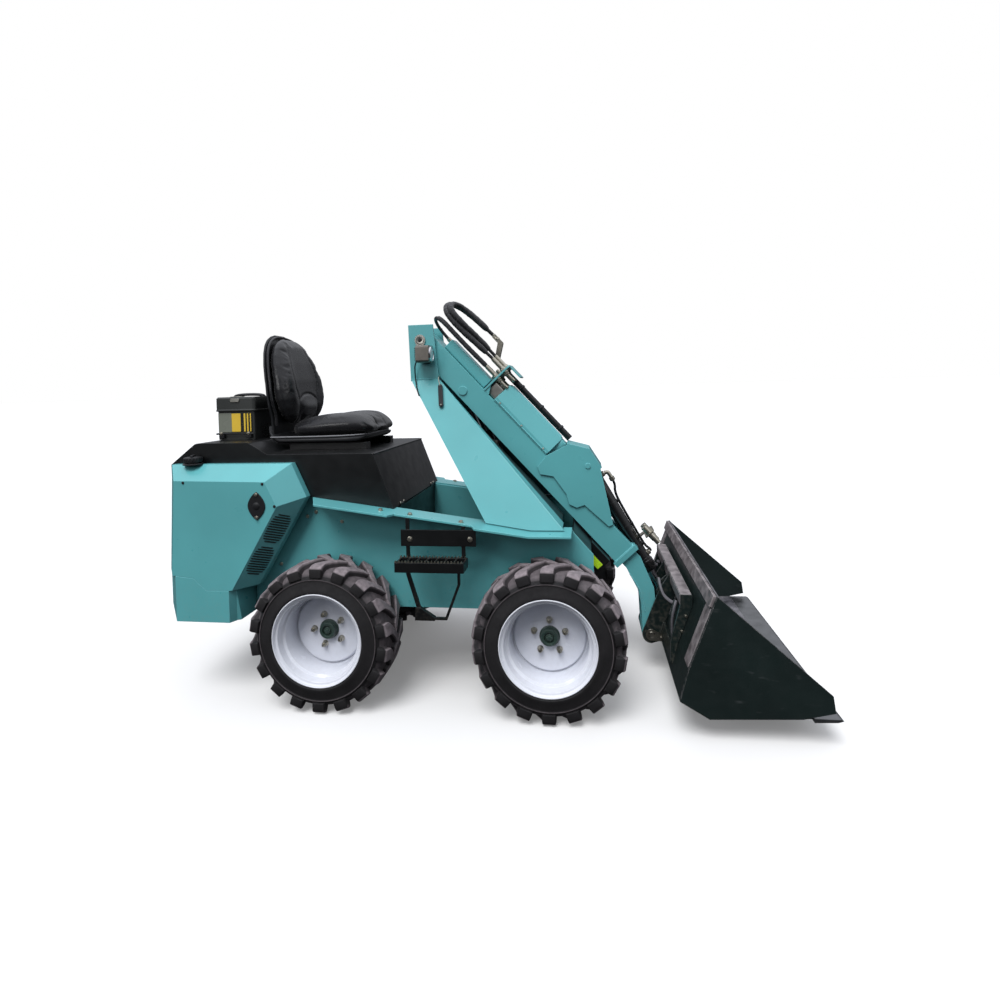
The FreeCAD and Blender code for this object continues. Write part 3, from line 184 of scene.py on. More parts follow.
def hexagon(width, sides=24):
    """Radii of a hexagon by angle: half its width over the cosine of the angle from the nearest flat."""
    from_flat = (around(sides) + math.pi / 6) % (math.pi / 3) - math.pi / 6
    return width / 2 / np.cos(from_flat)


def bolt(width, height, sides=24, washer=True, stud=0.0):
    """A hexagon head: a washer, then flats, then a chamfer where the hexagon is cut by a cone, and a stud."""
    flats = hexagon(width, sides)
    cone = width / 2 * 0.98
    base = width * 0.72
    rows = []
    if washer:
        rows += [(base, 0.0), (base, height * 0.16), (base * 0.96, height * 0.2)]
    rows += [(flats, height * (0.2 if washer else 0.0)), (flats, height * 0.8),
             (np.minimum(flats, cone * 1.06), height * 0.9), (cone * 0.92, height)]
    if stud:
        rod = width * 0.3
        rows += [(rod, height), (rod, height + stud * 0.85), (rod * 0.85, height + stud)]
    return turned(rows, sides)


def screw(width, sides=16):
    """A button-head screw: a shallow dome with a sunk hexagon socket."""
    half = width / 2
    socket = hexagon(width * 0.42, sides)
    return turned([(half, 0.0), (half, width * 0.08), (half * 0.86, width * 0.24), (half * 0.6, width * 0.33),
                   (socket * 1.02, width * 0.35), (socket, width * 0.15)], sides)


def rounded(width, depth, radius, steps=5):
    """A rectangle with round corners: each corner's centre plus the radius at the angle."""
    quarter = np.linspace(0, math.pi / 2, steps)
    turn = (quarter[None] + np.arange(4)[:, None] * math.pi / 2).ravel()
    middle = np.arange(4) * math.pi / 2 + math.pi / 4
    signs = np.repeat(np.stack([np.sign(np.cos(middle)), np.sign(np.sin(middle))], -1), steps, axis=0)
    return signs * (width / 2 - radius, depth / 2 - radius) + radius * np.stack([np.cos(turn), np.sin(turn)], -1)


def plate(outline, thickness, bevel=0.8):
    """A flat plate on an outline: the outline at both faces, drawn in by the bevel at each face."""
    outline = np.asarray(outline, float)
    middle = outline.mean(0)
    reach = np.linalg.norm(outline - middle, axis=1).mean()
    inner = middle + (outline - middle) * (1 - bevel / reach)
    levels = ((inner, 0.0), (outline, bevel), (outline, thickness - bevel), (inner, thickness))
    return skin([np.column_stack([shape, np.full(len(shape), up)]) for shape, up in levels])


def tile(width, depth, radius, thickness, bevel=0.8, steps=5):
    """A flat plate with round corners."""
    return plate(rounded(width, depth, radius, steps), thickness, bevel)


def spline(points, count):
    """A smooth way through control points: quadratic arcs between the middles of the runs, from the first
    point to the last."""
    points = np.asarray(points, float)
    middles = (points[:-1] + points[1:]) / 2
    first = middles[:-1].copy()
    last = middles[1:].copy()
    first[0] = points[0]
    last[-1] = points[-1]
    along = np.linspace(0, len(first) - 1e-6, count)
    span = along.astype(int)
    part = (along - span)[:, None]
    return (1 - part) ** 2 * first[span] + 2 * part * (1 - part) * points[1:-1][span] + part ** 2 * last[span]


def tube(path, radius, sides=12, upward=LEFT, flat=1.0):
    """A round section carried along a path. Its axes are square to the way and to the upward direction."""
    path = np.asarray(path, float)
    way = np.gradient(path, axis=0)
    way /= np.linalg.norm(way, axis=1, keepdims=True)
    first = np.cross(np.asarray(upward, float), way)
    first /= np.linalg.norm(first, axis=1, keepdims=True)
    second = np.cross(way, first)
    turn = around(sides)
    size = np.broadcast_to(np.asarray(radius, float).reshape(-1, 1, 1), (len(path), 1, 1))
    rings = (path[:, None] + size * (first[:, None] * np.cos(turn)[:, None]
                                     + flat * second[:, None] * np.sin(turn)[:, None]))
    return skin(rings)


def teardrop(large, small, reach, steps=40):
    """The outline round a large circle and a small one: at each angle, the farther of the two circles."""
    turn = around(steps)
    way = np.stack([np.cos(turn), np.sin(turn)], -1)
    on_small = small + reach * way[:, :1] > large
    return np.where(on_small, (reach, 0) + small * way, large * way)


def keeper(large, small, reach, thick):
    """A keeper plate on a pin's end, drawn along its own x axis."""
    return plate(teardrop(large, small, reach), thick, 0.8)


def bead(start, finish, width, upward=(0, 1, 0.01)):
    """A weld bead between two points: a thin rod whose radius swells a little every 4 mm."""
    start = np.asarray(start, float)
    finish = np.asarray(finish, float)
    count = max(6, int(np.linalg.norm(finish - start) / 4.0 * 3))
    part = np.linspace(0, 1, count)
    swell = 1 + 0.14 * np.cos(np.arange(count) * 2 * math.pi / 3)
    return tube(start + part[:, None] * (finish - start), width / 2 * swell, 6, upward)


def beads(corners, width, closed=False, upward=(0, 1, 0.01)):
    """Weld beads along the runs between corners."""
    corners = list(corners) + ([corners[0]] if closed else [])
    return [bead(first, second, width, upward=upward) for first, second in zip(corners, corners[1:])]


def mirrored(parts):
    """The parts together with their mirror images across the plane of symmetry."""
    other = [(points * (1, -1, 1), quads[:, ::-1], wear_and_painted_light) for points, quads, wear_and_painted_light in parts]
    return list(parts) + other


BOOM_ANGLE = math.radians(47.6)
BOOM_PIVOT = np.array((-258.0, 0.0, 1490.0))
BOOM_WAY = np.array((math.cos(BOOM_ANGLE), 0.0, -math.sin(BOOM_ANGLE)))
BOOM_UP = np.array((math.sin(BOOM_ANGLE), 0.0, math.cos(BOOM_ANGLE)))
BUCKET_PIN = np.array((739.0, 0.0, 170.06))


def boomed(points):
    """Points given along the boom, across it and above its centre line, in the machine's frame."""
    points = np.asarray(points, float)
    return BOOM_PIVOT + points[..., :1] * BOOM_WAY + points[..., 1:2] * (0, 1, 0) + points[..., 2:] * BOOM_UP


def piece(name, parts, material, body, sharp=38.0):
    """Joins parts into one object that rides on a body: doubles are merged, and normals turned outwards."""
    points = np.concatenate([part[0] for part in parts]) * MM
    starts = np.cumsum([0] + [len(part[0]) for part in parts[:-1]])
    quads = np.concatenate([part[1] + start for part, start in zip(parts, starts)])
    mesh = bpy.data.meshes.new(name)
    mesh.from_pydata(points.tolist(), [], quads.tolist())
    worn_and_lit = mesh.attributes.new("wear_and_painted_light", "FLOAT", "POINT")
    worn_and_lit.data.foreach_set("value", np.concatenate([part[2] for part in parts]).astype(np.float32))
    soft = bmesh.new()
    soft.from_mesh(mesh)
    bmesh.ops.remove_doubles(soft, verts=soft.verts, dist=2e-6)
    bmesh.ops.recalc_face_normals(soft, faces=soft.faces)
    soft.to_mesh(mesh)
    soft.free()
    mesh.polygons.foreach_set("use_smooth", np.ones(len(mesh.polygons), bool))
    mesh.set_sharp_from_angle(angle=math.radians(sharp))
    mesh.materials.append(material)
    made = bpy.data.objects.new(name, mesh)
    bpy.context.scene.collection.objects.link(made)
    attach(made, body)
    return made


# --- materials ---------------------------------------------------------------------------------------------

def put(tree, kind, inputs=None, **settings):
    """Adds a node with its settings. Each input is given a value, or the output that feeds it."""
    node = tree.nodes.new(kind)
    for name, value in settings.items():
        setattr(node, name, value)
    for name, value in (inputs or {}).items():
        if isinstance(value, bpy.types.NodeSocket):
            tree.links.new(value, node.inputs[name])
        else:
            node.inputs[name].default_value = value
    return node


def opaque(colour):
    """A colour with full alpha."""
    return tuple(colour[:3]) + (1.0,)


def ink(code):
    """An sRGB hex colour as linear values with full alpha."""
    return linear(code) + (1.0,)


def shade(colour, factor):
    """A colour made lighter or darker by a factor, with full alpha."""
    return tuple(min(1.0, value * factor) for value in colour[:3]) + (1.0,)


def pattern(tree, size, kind, inputs=None, **settings):
    """A texture whose features are about size millimetres across, on Object coordinates."""
    where = put(tree, "ShaderNodeTexCoord").outputs["Object"]
    return put(tree, kind, {"Vector": where, "Scale": 1 / (size * MM), **(inputs or {})}, **settings)


def noise(tree, size, detail=2.0):
    """The strength of a noise whose features are about size millimetres across."""
    return pattern(tree, size, "ShaderNodeTexNoise", {"Detail": detail}).outputs["Fac"]


def worked(tree, operation, *values):
    """The result of a mathematical operation on values."""
    return put(tree, "ShaderNodeMath", dict(enumerate(values)), operation=operation).outputs[0]


def bumped(tree, height, strength, distance, normal=None):
    """The surface's normal, or a given one, tilted by a height over a distance in metres."""
    inputs = {"Height": height, "Strength": strength, "Distance": distance}
    if normal:
        inputs["Normal"] = normal
    return put(tree, "ShaderNodeBump", inputs).outputs[0]


def ramp(tree, feed, low, high, out_low=0.0, out_high=1.0):
    """Feed between low and high, as out_low to out_high."""
    return put(tree, "ShaderNodeMapRange", {"Value": feed, "From Min": low, "From Max": high,
                                            "To Min": out_low, "To Max": out_high}).outputs["Result"]


def blend(tree, factor, first, second):
    """Two colours mixed by a factor."""
    node = put(tree, "ShaderNodeMix", data_type="RGBA")
    for socket, value in ((node.inputs[0], factor), (node.inputs[6], first), (node.inputs[7], second)):
        if isinstance(value, bpy.types.NodeSocket):
            tree.links.new(value, socket)
        else:
            socket.default_value = value
    return node.outputs[2]


def edges(tree, radius):
    """How far the surface's true normal leans from the normal rounded over a radius: high along edges."""
    rounded_normal = put(tree, "ShaderNodeBevel", {"Radius": radius * MM}, samples=6)
    true_normal = put(tree, "ShaderNodeNewGeometry").outputs["True Normal"]
    lean = put(tree, "ShaderNodeVectorMath", {0: rounded_normal.outputs[0], 1: true_normal},
               operation="DOT_PRODUCT").outputs["Value"]
    return rounded_normal.outputs[0], ramp(tree, lean, 0.995, 0.86)


def finish(name, build, **constants):
    """A material whose shader takes constants on its own sockets; build adds the patterns. Each is made once."""
    known = bpy.data.materials.get(name)
    if known:
        return known
    made = bpy.data.materials.new(name)
    made.use_nodes = True
    tree = made.node_tree
    tree.nodes.clear()
    shader = put(tree, "ShaderNodeBsdfPrincipled")
    for socket, value in constants.items():
        shader.inputs[socket.replace("_", " ")].default_value = value
    for socket, output in build(tree).items():
        tree.links.new(output, shader.inputs[socket])
    put(tree, "ShaderNodeOutputMaterial", {"Surface": shader.outputs[0]})
    return made


def enamel(name, colour, edge, rough=0.32, peel=0.04, coat=0.3, grime=0.25, radius=2.5):
    """Air-dried enamel sprayed on steel: a slightly cloudy colour, orange peel a few millimetres across, a
    clear gloss, edges painted lighter where the film pulls thin and as a painted highlight, and a little dust
    near the ground."""
    def build(tree):
        cloud = noise(tree, 420, 3.0)
        tone = blend(tree, ramp(tree, cloud, 0.35, 0.65), shade(colour, 0.92), shade(colour, 1.06))
        normal, rim = edges(tree, radius)
        # The edges are painted towards the edge colour: partly thin film, mostly a painted highlight.
        worn_and_lit = blend(tree, ramp(tree, rim, 0, 1, 0, 0.55), tone, opaque(edge))
        height = put(tree, "ShaderNodeSeparateXYZ", {0: put(tree, "ShaderNodeTexCoord").outputs["Object"]})
        low = ramp(tree, height.outputs["Z"], 0.55, 0.05, 0, grime)
        speck = noise(tree, 14, 6.0)
        dust = worked(tree, "MULTIPLY", low, ramp(tree, speck, 0.45, 0.75))
        dusty = blend(tree, dust, worn_and_lit, ink("8A8378"))
        fine = noise(tree, 3.2, 2.0)
        wave = noise(tree, 90, 1.0)
        both = worked(tree, "ADD", fine, wave)
        bump = bumped(tree, both, peel * 4, 0.0004, normal)
        gloss = ramp(tree, noise(tree, 60, 4.0), 0.3, 0.7, rough - 0.05, rough + 0.08)
        return {"Base Color": dusty, "Normal": bump, "Roughness": gloss}
    return finish(name, build, Coat_Weight=coat, Coat_Roughness=0.12, IOR=1.5)


def teal_enamel(context):
    """Two-pack polyurethane enamel, sprayed: satin gloss, with its edges painted light cyan as a painted highlight.
    """
    colour = context.scene.loader_colours.teal
    # The light cyan edge colour is a painted highlight.
    return enamel("teal_enamel_sprayed", colour, linear("8FD9E2"))


def black_enamel(context):
    """Black chassis enamel, sprayed: satin, with its edges painted grey as a painted highlight."""
    return enamel("black_enamel_sprayed", context.scene.loader_colours.black, linear("2A2C2E"), 0.38, 0.05, 0.08)


def cylinder_enamel(context):
    """Gloss black enamel over turned steel, as cylinder barrels have."""
    # Its edge colour is painted on as a painted highlight.
    return enamel("black_gloss_enamel_sprayed", context.scene.loader_colours.black, linear("2A2C2E"), 0.2, 0.03,
                  0.8, 0.1, 1.5)


def bucket_enamel(context):
    """Thin black enamel on hot-rolled plate: satin, green-black, with bare bright edges and rub marks."""
    colour = context.scene.loader_colours.bucket

    def build(tree):
        cloud = noise(tree, 260, 4.0)
        outer = blend(tree, ramp(tree, cloud, 0.3, 0.7), shade(colour, 0.8), shade(colour, 1.25))
        # Between the side plates the enamel is rubbed thin and shows grey.
        across = put(tree, "ShaderNodeSeparateXYZ", {0: put(tree, "ShaderNodeTexCoord").outputs["Object"]})
        within = worked(tree, "ABSOLUTE", across.outputs["Y"])
        thin = blend(tree, ramp(tree, noise(tree, 90, 6.0), 0.35, 0.65),
                     ink("2E2E33"), ink("66656A"))
        faced = put(tree, "ShaderNodeSeparateXYZ", {0: put(tree, "ShaderNodeNewGeometry").outputs["Normal"]})
        inside = worked(tree, "MULTIPLY", ramp(tree, within, 0.5785, 0.5775),
                        ramp(tree, faced.outputs["X"], -0.35, -0.2))
        tone = blend(tree, inside, outer, thin)
        normal, rim = edges(tree, 2.5)
        chip = noise(tree, 18, 6.0)
        chipped = worked(tree, "MULTIPLY", rim, ramp(tree, chip, 0.35, 0.6))
        worn_and_lit = blend(tree, chipped, tone, ink("7A7678"))
        # Long scratches run along the machine, about 2 mm apart and 60 mm long.
        where = put(tree, "ShaderNodeMapping", {0: put(tree, "ShaderNodeTexCoord").outputs["Object"],
                                                "Scale": (16, 500, 60)})
        streak = put(tree, "ShaderNodeTexNoise", {"Vector": where.outputs[0], "Scale": 1.0, "Detail": 3.0})
        scratch = ramp(tree, streak.outputs["Fac"], 0.66, 0.78, 0, 0.2)
        marked = blend(tree, scratch, worn_and_lit, ink("5A5C5E"))
        plateau = noise(tree, 6, 5.0)
        bump = bumped(tree, plateau, 0.25, 0.0005, normal)
        gloss = ramp(tree, noise(tree, 45, 4.0), 0.3, 0.7, 0.36, 0.56)
        return {"Base Color": marked, "Normal": bump, "Roughness": gloss}
    return finish("bucket_enamel_on_plate", build, IOR=1.5, Coat_Weight=0.1, Coat_Roughness=0.3)


def coupler_enamel(context):
    """The same dark enamel on the coupler's tubes and ears, with its film whole."""
    # Its edge colour is painted on as a painted highlight.
    return enamel("dark_enamel_on_tube", context.scene.loader_colours.bucket, linear("6A6E70"), 0.34, 0.05, 0.3,
                  0.3, 2.0)


def lamp_housing(context):
    """The lamp's die-cast aluminium housing under thin warm-grey lacquer."""
    return metal("lacquered_die_cast_aluminium", linear("8C8780"), 0.36, 2.5, 0.12, 0.15, 2.0)


def rubbed_enamel(context):
    """Thin enamel rubbed grey where an attachment rides on it: the bucket's rail and hitch tube."""
    def build(tree):
        rub = noise(tree, 40, 6.0)
        tone = blend(tree, ramp(tree, rub, 0.35, 0.65), ink("5B5557"), ink("8C8587"))
        normal, rim = edges(tree, 2.0)
        # The edges are painted paler: rubbing, and a painted highlight.
        worn_and_lit = blend(tree, ramp(tree, rim, 0, 1, 0, 0.7), tone, ink("B9B6B4"))
        bump = bumped(tree, noise(tree, 3, 4.0), 0.2, 0.0004, normal)
        return {"Base Color": worn_and_lit, "Normal": bump,
                "Roughness": ramp(tree, rub, 0.3, 0.7, 0.38, 0.55)}
    return finish("rubbed_enamel_on_plate", build, Metallic=0.25, IOR=1.5)


def metal(name, colour, rough, grain=2.0, spread=0.1, strength=0.1, radius=0.6):
    """Bare or plated steel: a metal whose brightness and gloss vary over a fine grain."""
    def build(tree):
        mottle = noise(tree, grain * 9, 4.0)
        tone = blend(tree, mottle, shade(colour, 1 - spread * 2), shade(colour, 1 + spread))
        normal = put(tree, "ShaderNodeBevel", {"Radius": radius * MM}, samples=4).outputs[0]
        bump = bumped(tree, noise(tree, grain, 3.0), strength, 0.0002, normal)
        return {"Base Color": tone, "Normal": bump,
                "Roughness": ramp(tree, mottle, 0.2, 0.8, rough * 0.8, rough * 1.25)}
    return finish(name, build, Metallic=1.0)


def zinc(context):
    """Bright zinc plate with a faint straw passivation, on turned steel fasteners."""
    return metal("zinc_plated_steel", linear("C9C4B4"), 0.3, 1.5, 0.1, 0.12)


def chrome(context):
    """Ground and polished hard chrome on cylinder rods."""
    return metal("hard_chrome_ground", linear("DCDDE0"), 0.09, 1.0, 0.02, 0.02)


def keeper_steel(context):
    """Laser-cut steel keepers, zinc plated and dull."""
    return metal("dull_zinc_on_cut_plate", linear("BDBBB2"), 0.38, 3.0, 0.12, 0.18)


def ground_edge(context):
    """The cutting edge: abrasion-proof plate with mill scale, ground bright at the lip."""
    return metal("cutting_edge_plate", linear("8E8F90"), 0.4, 5.0, 0.2, 0.25, 2.0)


def rim_enamel(context):
    """White powder coat, baked: thick, glossy, with faint orange peel."""
    # Its white edge colour is painted on as a painted highlight.
    return enamel("white_powder_coat_baked", context.scene.loader_colours.wheel, linear("FFFFFF"), 0.2, 0.03, 0.6,
                  0.12, 2.0)


def hub_iron(context):
    """Sand-cast iron under green-black paint: grainy and half dull."""
    # Its edge colour is painted on as a painted highlight.
    return enamel("painted_cast_iron", linear("22352F"), linear("70857C"), 0.42, 0.25, 0.2, 0.1, 1.5)


def engine_paint(context):
    """Grey engine paint over cast iron."""
    # Its edge colour is painted on as a painted highlight.
    return enamel("grey_paint_on_cast_iron", linear("4A4D4F"), linear("8A8D8F"), 0.45, 0.3, 0.1, 0.2, 3.0)


def moulded(name, colour, rough, grain=1.1, strength=0.22):
    """Injection-moulded plastic: an even colour, a spark-eroded grain about a millimetre across, soft edges painted
    lighter as a painted highlight.
    """
    def build(tree):
        normal, rim = edges(tree, 1.5)
        cloud = noise(tree, 120, 2.0)
        tone = blend(tree, cloud, shade(colour, 0.9), shade(colour, 1.12))
        # The edges are painted lighter: a painted highlight.
        worn_and_lit = blend(tree, ramp(tree, rim, 0, 1, 0, 0.5), tone, shade(colour, 2.5))
        pits = pattern(tree, grain, "ShaderNodeTexVoronoi").outputs["Distance"]
        bump = bumped(tree, pits, strength, 0.0002, normal)
        return {"Base Color": worn_and_lit, "Normal": bump,
                "Roughness": ramp(tree, cloud, 0.3, 0.7, rough - 0.04, rough + 0.06)}
    return finish(name, build, IOR=1.49)


def black_plastic(context):
    """Polypropylene, moulded with a fine grain."""
    return moulded("black_polypropylene_moulded", linear("17181A"), 0.38)


def battery_plastic(context):
    """Grey-black polypropylene of a battery's box."""
    return moulded("battery_polypropylene_moulded", linear("2E302F"), 0.3, 1.4, 0.12)


def grey_panel(context):
    """An olive-grey printed plastic panel, blank, slightly glossy."""
    return moulded("olive_grey_plastic_panel", linear("6B6F66"), 0.25, 1.2, 0.05)


def lip_trim_with_highlight(context):
    """PVC edge trim, extruded, half glossy along the seat's shell: its pale grey is a painted highlight along the
    tray's lip.
    """
    return moulded("pvc_trim_pale_as_painted_highlight", linear("6C6D70"), 0.3, 1.0, 0.06)


def band_plastic(context):
    """Yellow polypropylene bands on the battery."""
    return moulded("yellow_polypropylene_bands", context.scene.loader_colours.label, 0.3, 1.2, 0.1)


def hose_rubber(context):
    """Synthetic rubber hose cover: its wrapped cloth leaves a fine print about 1.2 mm apart along the hose."""
    def build(tree):
        cloth = noise(tree, 1.2, 2.0)
        cloud = noise(tree, 30, 3.0)
        tone = blend(tree, cloud, ink("0C0C0D"), ink("1E1D1F"))
        bump = bumped(tree, cloth, 0.3, 0.0003)
        return {"Base Color": tone, "Normal": bump,
                "Roughness": ramp(tree, cloud, 0.3, 0.7, 0.34, 0.5)}
    return finish("hose_cover_rubber_wrapped", build, IOR=1.52)


def nylon_sleeve(context):
    """A woven nylon sleeve over a hose: black yarn, its braid about 2.5 mm apart, shiny where it is pulled."""
    def build(tree):
        braid = pattern(tree, 2.5, "ShaderNodeTexVoronoi", feature="DISTANCE_TO_EDGE")
        yarn = ramp(tree, braid.outputs["Distance"], 0.0, 0.3)
        # The gaps between the yarns are painted darker: painted shade.
        tone = blend(tree, yarn, ink("060607"), ink("242327"))
        bump = bumped(tree, yarn, 0.5, 0.0005)
        return {"Base Color": tone, "Normal": bump,
                "Roughness": ramp(tree, noise(tree, 24, 3.0), 0.3, 0.7, 0.26, 0.46)}
    return finish("nylon_sleeve_braided", build, IOR=1.53, Sheen_Weight=0.1)


def tyre_rubber(context):
    """Vulcanised carbon-black rubber: matt black in the grooves, grey on the lugs' tops, where it is scuffed
    and also painted lighter as a painted highlight from above. The wear_and_painted_light attribute is 1 on
    a top, 0 in a groove and 0.4 on the ribbed band by the rim."""
    colours = context.scene.loader_colours

    def build(tree):
        worn_and_lit = put(tree, "ShaderNodeAttribute", attribute_name="wear_and_painted_light").outputs["Fac"]
        scuff = noise(tree, 16, 6.0)
        top = blend(tree, ramp(tree, scuff, 0.3, 0.7), shade(colours.tread, 0.55), opaque(colours.tread))
        cloud = noise(tree, 60, 4.0)
        groove = blend(tree, cloud, shade(colours.rubber, 0.6), shade(colours.rubber, 2.2))
        # Tops are mixed towards the scuffed grey: partly scuff, partly a painted highlight from above.
        tone = blend(tree, ramp(tree, worn_and_lit, 0.45, 1.0), groove, top)
        where = put(tree, "ShaderNodeUVMap", uv_map="wrap").outputs[0]
        ribs = put(tree, "ShaderNodeTexNoise", {"Vector": put(tree, "ShaderNodeMapping", {
            0: where, "Scale": (420, 60, 1)}).outputs[0], "Scale": 1.0, "Detail": 1.0}).outputs["Fac"]
        band = worked(tree, "MULTIPLY", worked(tree, "COMPARE", worn_and_lit, 0.4, 0.08), ribs)
        fine = noise(tree, 2.2, 5.0)
        height = worked(tree, "ADD", worked(tree, "MULTIPLY", fine, 0.35), band)
        soft = put(tree, "ShaderNodeBevel", {"Radius": 2.0 * MM}, samples=4).outputs[0]
        bump = bumped(tree, height, 0.6, 0.0009, soft)
        return {"Base Color": tone, "Normal": bump,
                "Roughness": ramp(tree, scuff, 0.2, 0.8, 0.52, 0.8)}
    return finish("tyre_rubber_vulcanised", build, IOR=1.52)


def seat_vinyl(context):
    """PVC coated cloth, embossed with a leather grain about 1.3 mm across: glossy, with its creases painted darker as
    painted shade.
    """
    colour = context.scene.loader_colours.vinyl

    def build(tree):
        cell = pattern(tree, 1.3, "ShaderNodeTexVoronoi", feature="DISTANCE_TO_EDGE")
        pebble = ramp(tree, cell.outputs["Distance"], 0.0, 0.25)
        cloud = noise(tree, 70, 3.0)
        tone = blend(tree, cloud, opaque(colour), shade(colour, 2.4))
        crease_and_painted_shade = put(tree, "ShaderNodeAttribute", attribute_name="crease_and_painted_shade").outputs["Fac"]
        # The creases are painted darker: painted shade.
        tone_with_painted_shade = blend(tree, crease_and_painted_shade, tone, shade(colour, 0.35))
        bump = bumped(tree, pebble, 0.16, 0.0003)
        return {"Base Color": tone_with_painted_shade, "Normal": bump,
                "Roughness": ramp(tree, cloud, 0.3, 0.7, 0.2, 0.32)}
    return finish("pvc_coated_cloth_embossed", build, IOR=1.53, Sheen_Weight=0.06)


def lime_acrylic(context):
    """Moulded acrylic reflector: clear lime over a prism pattern of 4 mm cells."""
    colour = context.scene.loader_colours.reflector

    def build(tree):
        cells = pattern(tree, 4, "ShaderNodeTexVoronoi")
        tone = blend(tree, ramp(tree, cells.outputs["Distance"], 0, 0.7), shade(colour, 1.15),
                     shade(colour, 0.8))
        bump = bumped(tree, cells.outputs["Distance"], 0.3, 0.0004)
        return {"Base Color": tone, "Normal": bump}
    return finish("lime_acrylic_moulded", build, Roughness=0.16, IOR=1.49, Coat_Weight=0.5)


def lamp_glass(context):
    """The lamp's pressed glass over its reflector: flutes 6 mm apart, painted in lighter and darker bands over a
    near-white ground, as a painted reflection of the reflector.
    """
    def build(tree):
        wave = pattern(tree, 12, "ShaderNodeTexWave", bands_direction="Y")
        # The near-white ground and the flutes' bands are a painted reflection.
        tone = blend(tree, wave.outputs["Fac"], ink("B9C2C8"), ink("F4F7F8"))
        bump = bumped(tree, wave.outputs["Fac"], 0.4, 0.0008)
        return {"Base Color": tone, "Normal": bump}
    return finish("pressed_glass_over_reflector", build, Metallic=0.35, Roughness=0.08, IOR=1.52, Coat_Weight=1.0)


def louvre_enamel(context):
    """Teal enamel over pressed louvres: the wear_and_painted_light attribute is 1 in the opening below each lip,
    which is painted near black as painted shade.
    """
    colour = context.scene.loader_colours.teal

    def build(tree):
        opening = put(tree, "ShaderNodeAttribute", attribute_name="wear_and_painted_light").outputs["Fac"]
        cloud = noise(tree, 200, 2.0)
        tone = blend(tree, cloud, shade(colour, 0.8), shade(colour, 1.0))
        # The openings are painted near black: painted shade.
        tone_with_painted_shade = blend(tree, opening, tone, ink("050607"))
        bump = bumped(tree, noise(tree, 3, 2.0), 0.1, 0.0003)
        return {"Base Color": tone_with_painted_shade, "Normal": bump}
    return finish("teal_enamel_on_louvres", build, Roughness=0.35, IOR=1.5, Coat_Weight=0.3)


def studio_floor(context):
    """A pale opal sheet, lit a little from beneath, so shadows on it stay soft and grey."""
    def build(tree):
        cloud = noise(tree, 900, 2.0)
        tone = blend(tree, cloud, ink("C4C4C4"), ink("CACACA"))
        return {"Base Color": tone, "Emission Color": tone}
    return finish("opal_studio_floor", build, Roughness=0.8, Emission_Strength=0.29)


CAD_FINISHES = {
    "teal_paint": teal_enamel,
    "black_paint": black_enamel,
    "cylinder_black": cylinder_enamel,
    "bucket_black": bucket_enamel,
    "bare_edge": ground_edge,
    "zinc_plate": zinc,
    "chrome_rod": chrome,
    "white_rim": rim_enamel,
    "hub_iron": hub_iron,
    "engine_iron": engine_paint,
    "black_plastic": black_plastic,
    "battery_case": battery_plastic,
    "hose_rubber": hose_rubber,
    "tyre_rubber": black_plastic,
    "seat_vinyl": seat_vinyl,
}


# --- operators ---------------------------------------------------------------------------------------------

